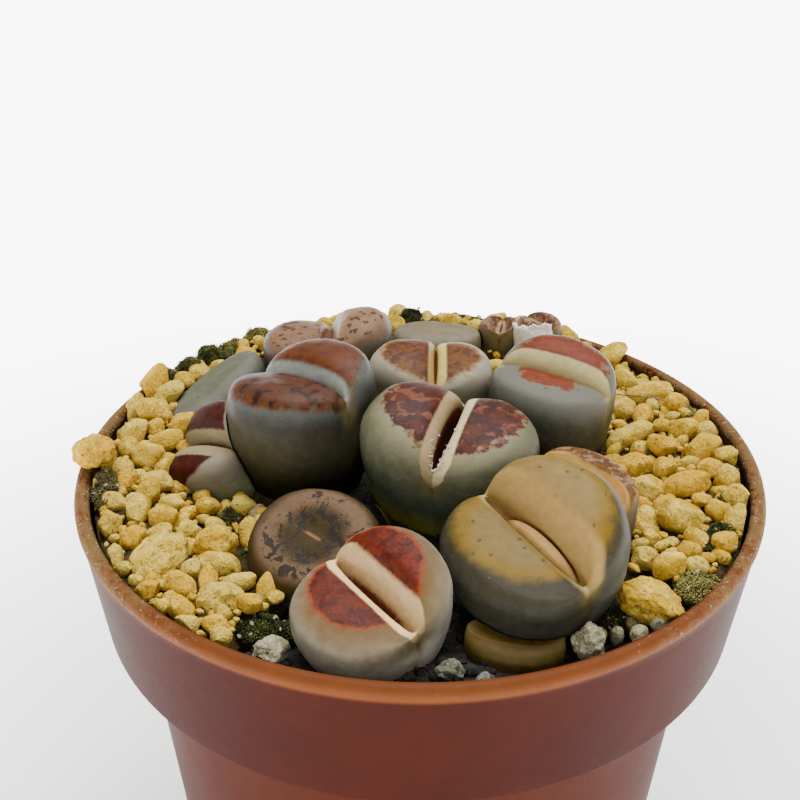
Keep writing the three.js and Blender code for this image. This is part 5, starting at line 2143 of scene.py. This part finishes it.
BODIES = (
    LeafPair("body_tall_rust", (-17.3, 1.5, 83), 50, 12.5, 11.5, 10.8, (19, 22), 16, 8, 110, 0.3, 3.5, 0.1,
             0.72, RUST, lip=0.4),
    LeafPair("body_heart_maroon", (4.5, -4, 83), -18, 13.5, 13.5, 11, (18, 16.5), 12.5, 8, 270, 1.6, 7, 0.18,
             0.8, MAROON, lip=0.5),
    LeafPair("body_wide_tan", (15.2, -27.5, 85), 34, 12, 12, 12.3, (11, 16), 9.5, 12, 250, 1.6, 5, 0.12, 0.8,
             TAN, lip=0.4),
    LeafPair("body_cream_brick", (-5.9, -35.9, 84), 40, 11, 9.6, 9.7, (9, 12.5), 7.5, 10, 260, 1.2, 5, 0.14,
             0.86, BRICK, lip=0.5),
    LeafPair("body_flat_brown", (-14, -21, 82), 50, 9.2, 9.2, 9, (8.7, 9.5), 9, 16, 250, 0.3, 0.35, 0, 0.88,
             BROWN, lip=0.1, slit=1.8),
    LeafPair("body_split_red", (-29.5, 1.5, 83), 60, 8, 8, 8, (10, 12), 6.5, 26, 195, 0.7, 3.6, 0.2, 0.85, RED,
             lip=0.6),
    LeafPair("body_plain_grey", (-33.5, 22, 83), -33, 5.5, 5.5, 11, (8.5, 8.5), 7.5, 14, 205, 0.3, 0.5, 0, 0.85,
             GREY_PLAIN, lip=0.2, slit=0.05, dome=1.0),
    LeafPair("body_back_lilac", (-16, 32, 84), 0, 12, 12, 9, (11.5, 15), 9, 0, 0, 1.5, 4, 0.15, 0.85, LILAC),
    LeafPair("body_orange_pair", (3.2, 20, 84), -2, 11.5, 9.8, 8.5, (14, 13), 10, 4, 270, 0.3, 3, 0.1, 0.85,
             ORANGE, lip=0.5),
    LeafPair("body_back_grey", (4, 38, 84), 80, 7, 7, 8.5, (9, 9), 8, 6, 90, 0.3, 1, 0, 0.85, GREY_BACK,
             slit=0.05, dome=0.8),
    LeafPair("body_coral_bands", (22, 11.5, 84), 60, 10, 10, 10.3, (15, 17), 12.5, 6, 270, 0.3, 3, 0.05, 0.82,
             CORAL, lip=0.3),
    LeafPair("body_pink_behind", (23, -15, 84.5), 40, 5.5, 6.5, 9, (10.5, 11.5), 9, 0, 0, 0.5, 3, 0.1, 0.85,
             PINK),
    LeafPair("body_old_olive", (11.7, -39, 82), 80, 4.6, 4.6, 6.5, (5, 5), 5, 0, 0, 0.3, 0.4, 0, 0.9, OLIVE,
             lip=0.2, root=8, slit=0.05, dome=1.6),
    LeafPair("body_small_back", (16.3, 40.5, 86), -10, 4.3, 3.4, 4, (7.5, 7.5), 6.5, 0, 0, 0.4, 2, 0.1, 0.85,
             SMALL, root=9),
    LeafPair("body_sheathed_back", (23.2, 38.6, 87.4), 30, 4, 4.1, 4.4, (7.6, 7.6), 6.5, 0, 0, 0.4, 2, 0.1,
             0.85, SMALL, root=9),
)  # fmt: skip

# Where two bodies press together, the first gives way to the second.
PRESSED = (
    ("split_red", "tall_rust"), ("tall_rust", "heart_maroon"), ("tall_rust", "orange_pair"),
    ("tall_rust", "back_lilac"), ("flat_brown", "cream_brick"), ("flat_brown", "tall_rust"),
    ("flat_brown", "heart_maroon"), ("pink_behind", "wide_tan"), ("pink_behind", "coral_bands"),
    ("pink_behind", "heart_maroon"), ("heart_maroon", "wide_tan"), ("coral_bands", "heart_maroon"),
    ("orange_pair", "heart_maroon"), ("orange_pair", "coral_bands"), ("back_lilac", "orange_pair"),
    ("back_grey", "orange_pair"), ("back_grey", "back_lilac"), ("small_back", "back_grey"),
    ("sheathed_back", "small_back"), ("plain_grey", "split_red"), ("plain_grey", "back_lilac"),
    ("cream_brick", "wide_tan"), ("old_olive", "wide_tan"), ("old_olive", "cream_brick"),
)  # fmt: skip


def build_strays() -> bpy.types.Object:
    """The small stray stones, as one piece.

    Returns:
        The piece.
    """
    k = np.arange(len(STRAY_STONES)) * 1.0
    points, faces = StoneKind().net(3, STRAY_STONES[:, 3:] / 2, 70 + k)
    points = turned(points, 360 * draw(k, 5)[:, None]) + STRAY_STONES[:, None, :3]
    shape = Shape.of_copies(points, faces, shade=draw(k, 6))
    finish = StoneFinish("7a7458", "a09a78", "3a3620", "a07c40")
    return dressed(shape.object("stray_stones", 50), finish.material("stone_strays"), "grey_stone")


def main() -> None:
    """Builds the studio and every piece."""
    logging.basicConfig(level=logging.INFO, format="%(name)s: %(message)s")
    Studio().build()
    plants = {body.plant: body for body in BODIES}
    new_leaves = NewLeaves(plants["wide_tan"])
    opened = {"wide_tan": new_leaves.open_for}
    made = {name: body.build(opened.get(name)) for name, body in plants.items()}
    for softer, firmer in PRESSED:
        pressed(made[softer], made[firmer])
    new_leaves.build()
    DrySheath(plants["sheathed_back"]).build()
    pot, ground = Pot(), Ground()
    pot.build()
    Soil(ground, pot).build()
    Grit(ground, BODIES).build()
    for stone in LOOSE_STONES:
        stone.build()
    build_strays()
    for patch in MOSS:
        patch.build()
    litter = Litter(plants["heart_maroon"])
    for build in (litter.crystals, litter.threads, litter.blade, litter.curl):
        build()


if __name__ == "__main__":
    main()
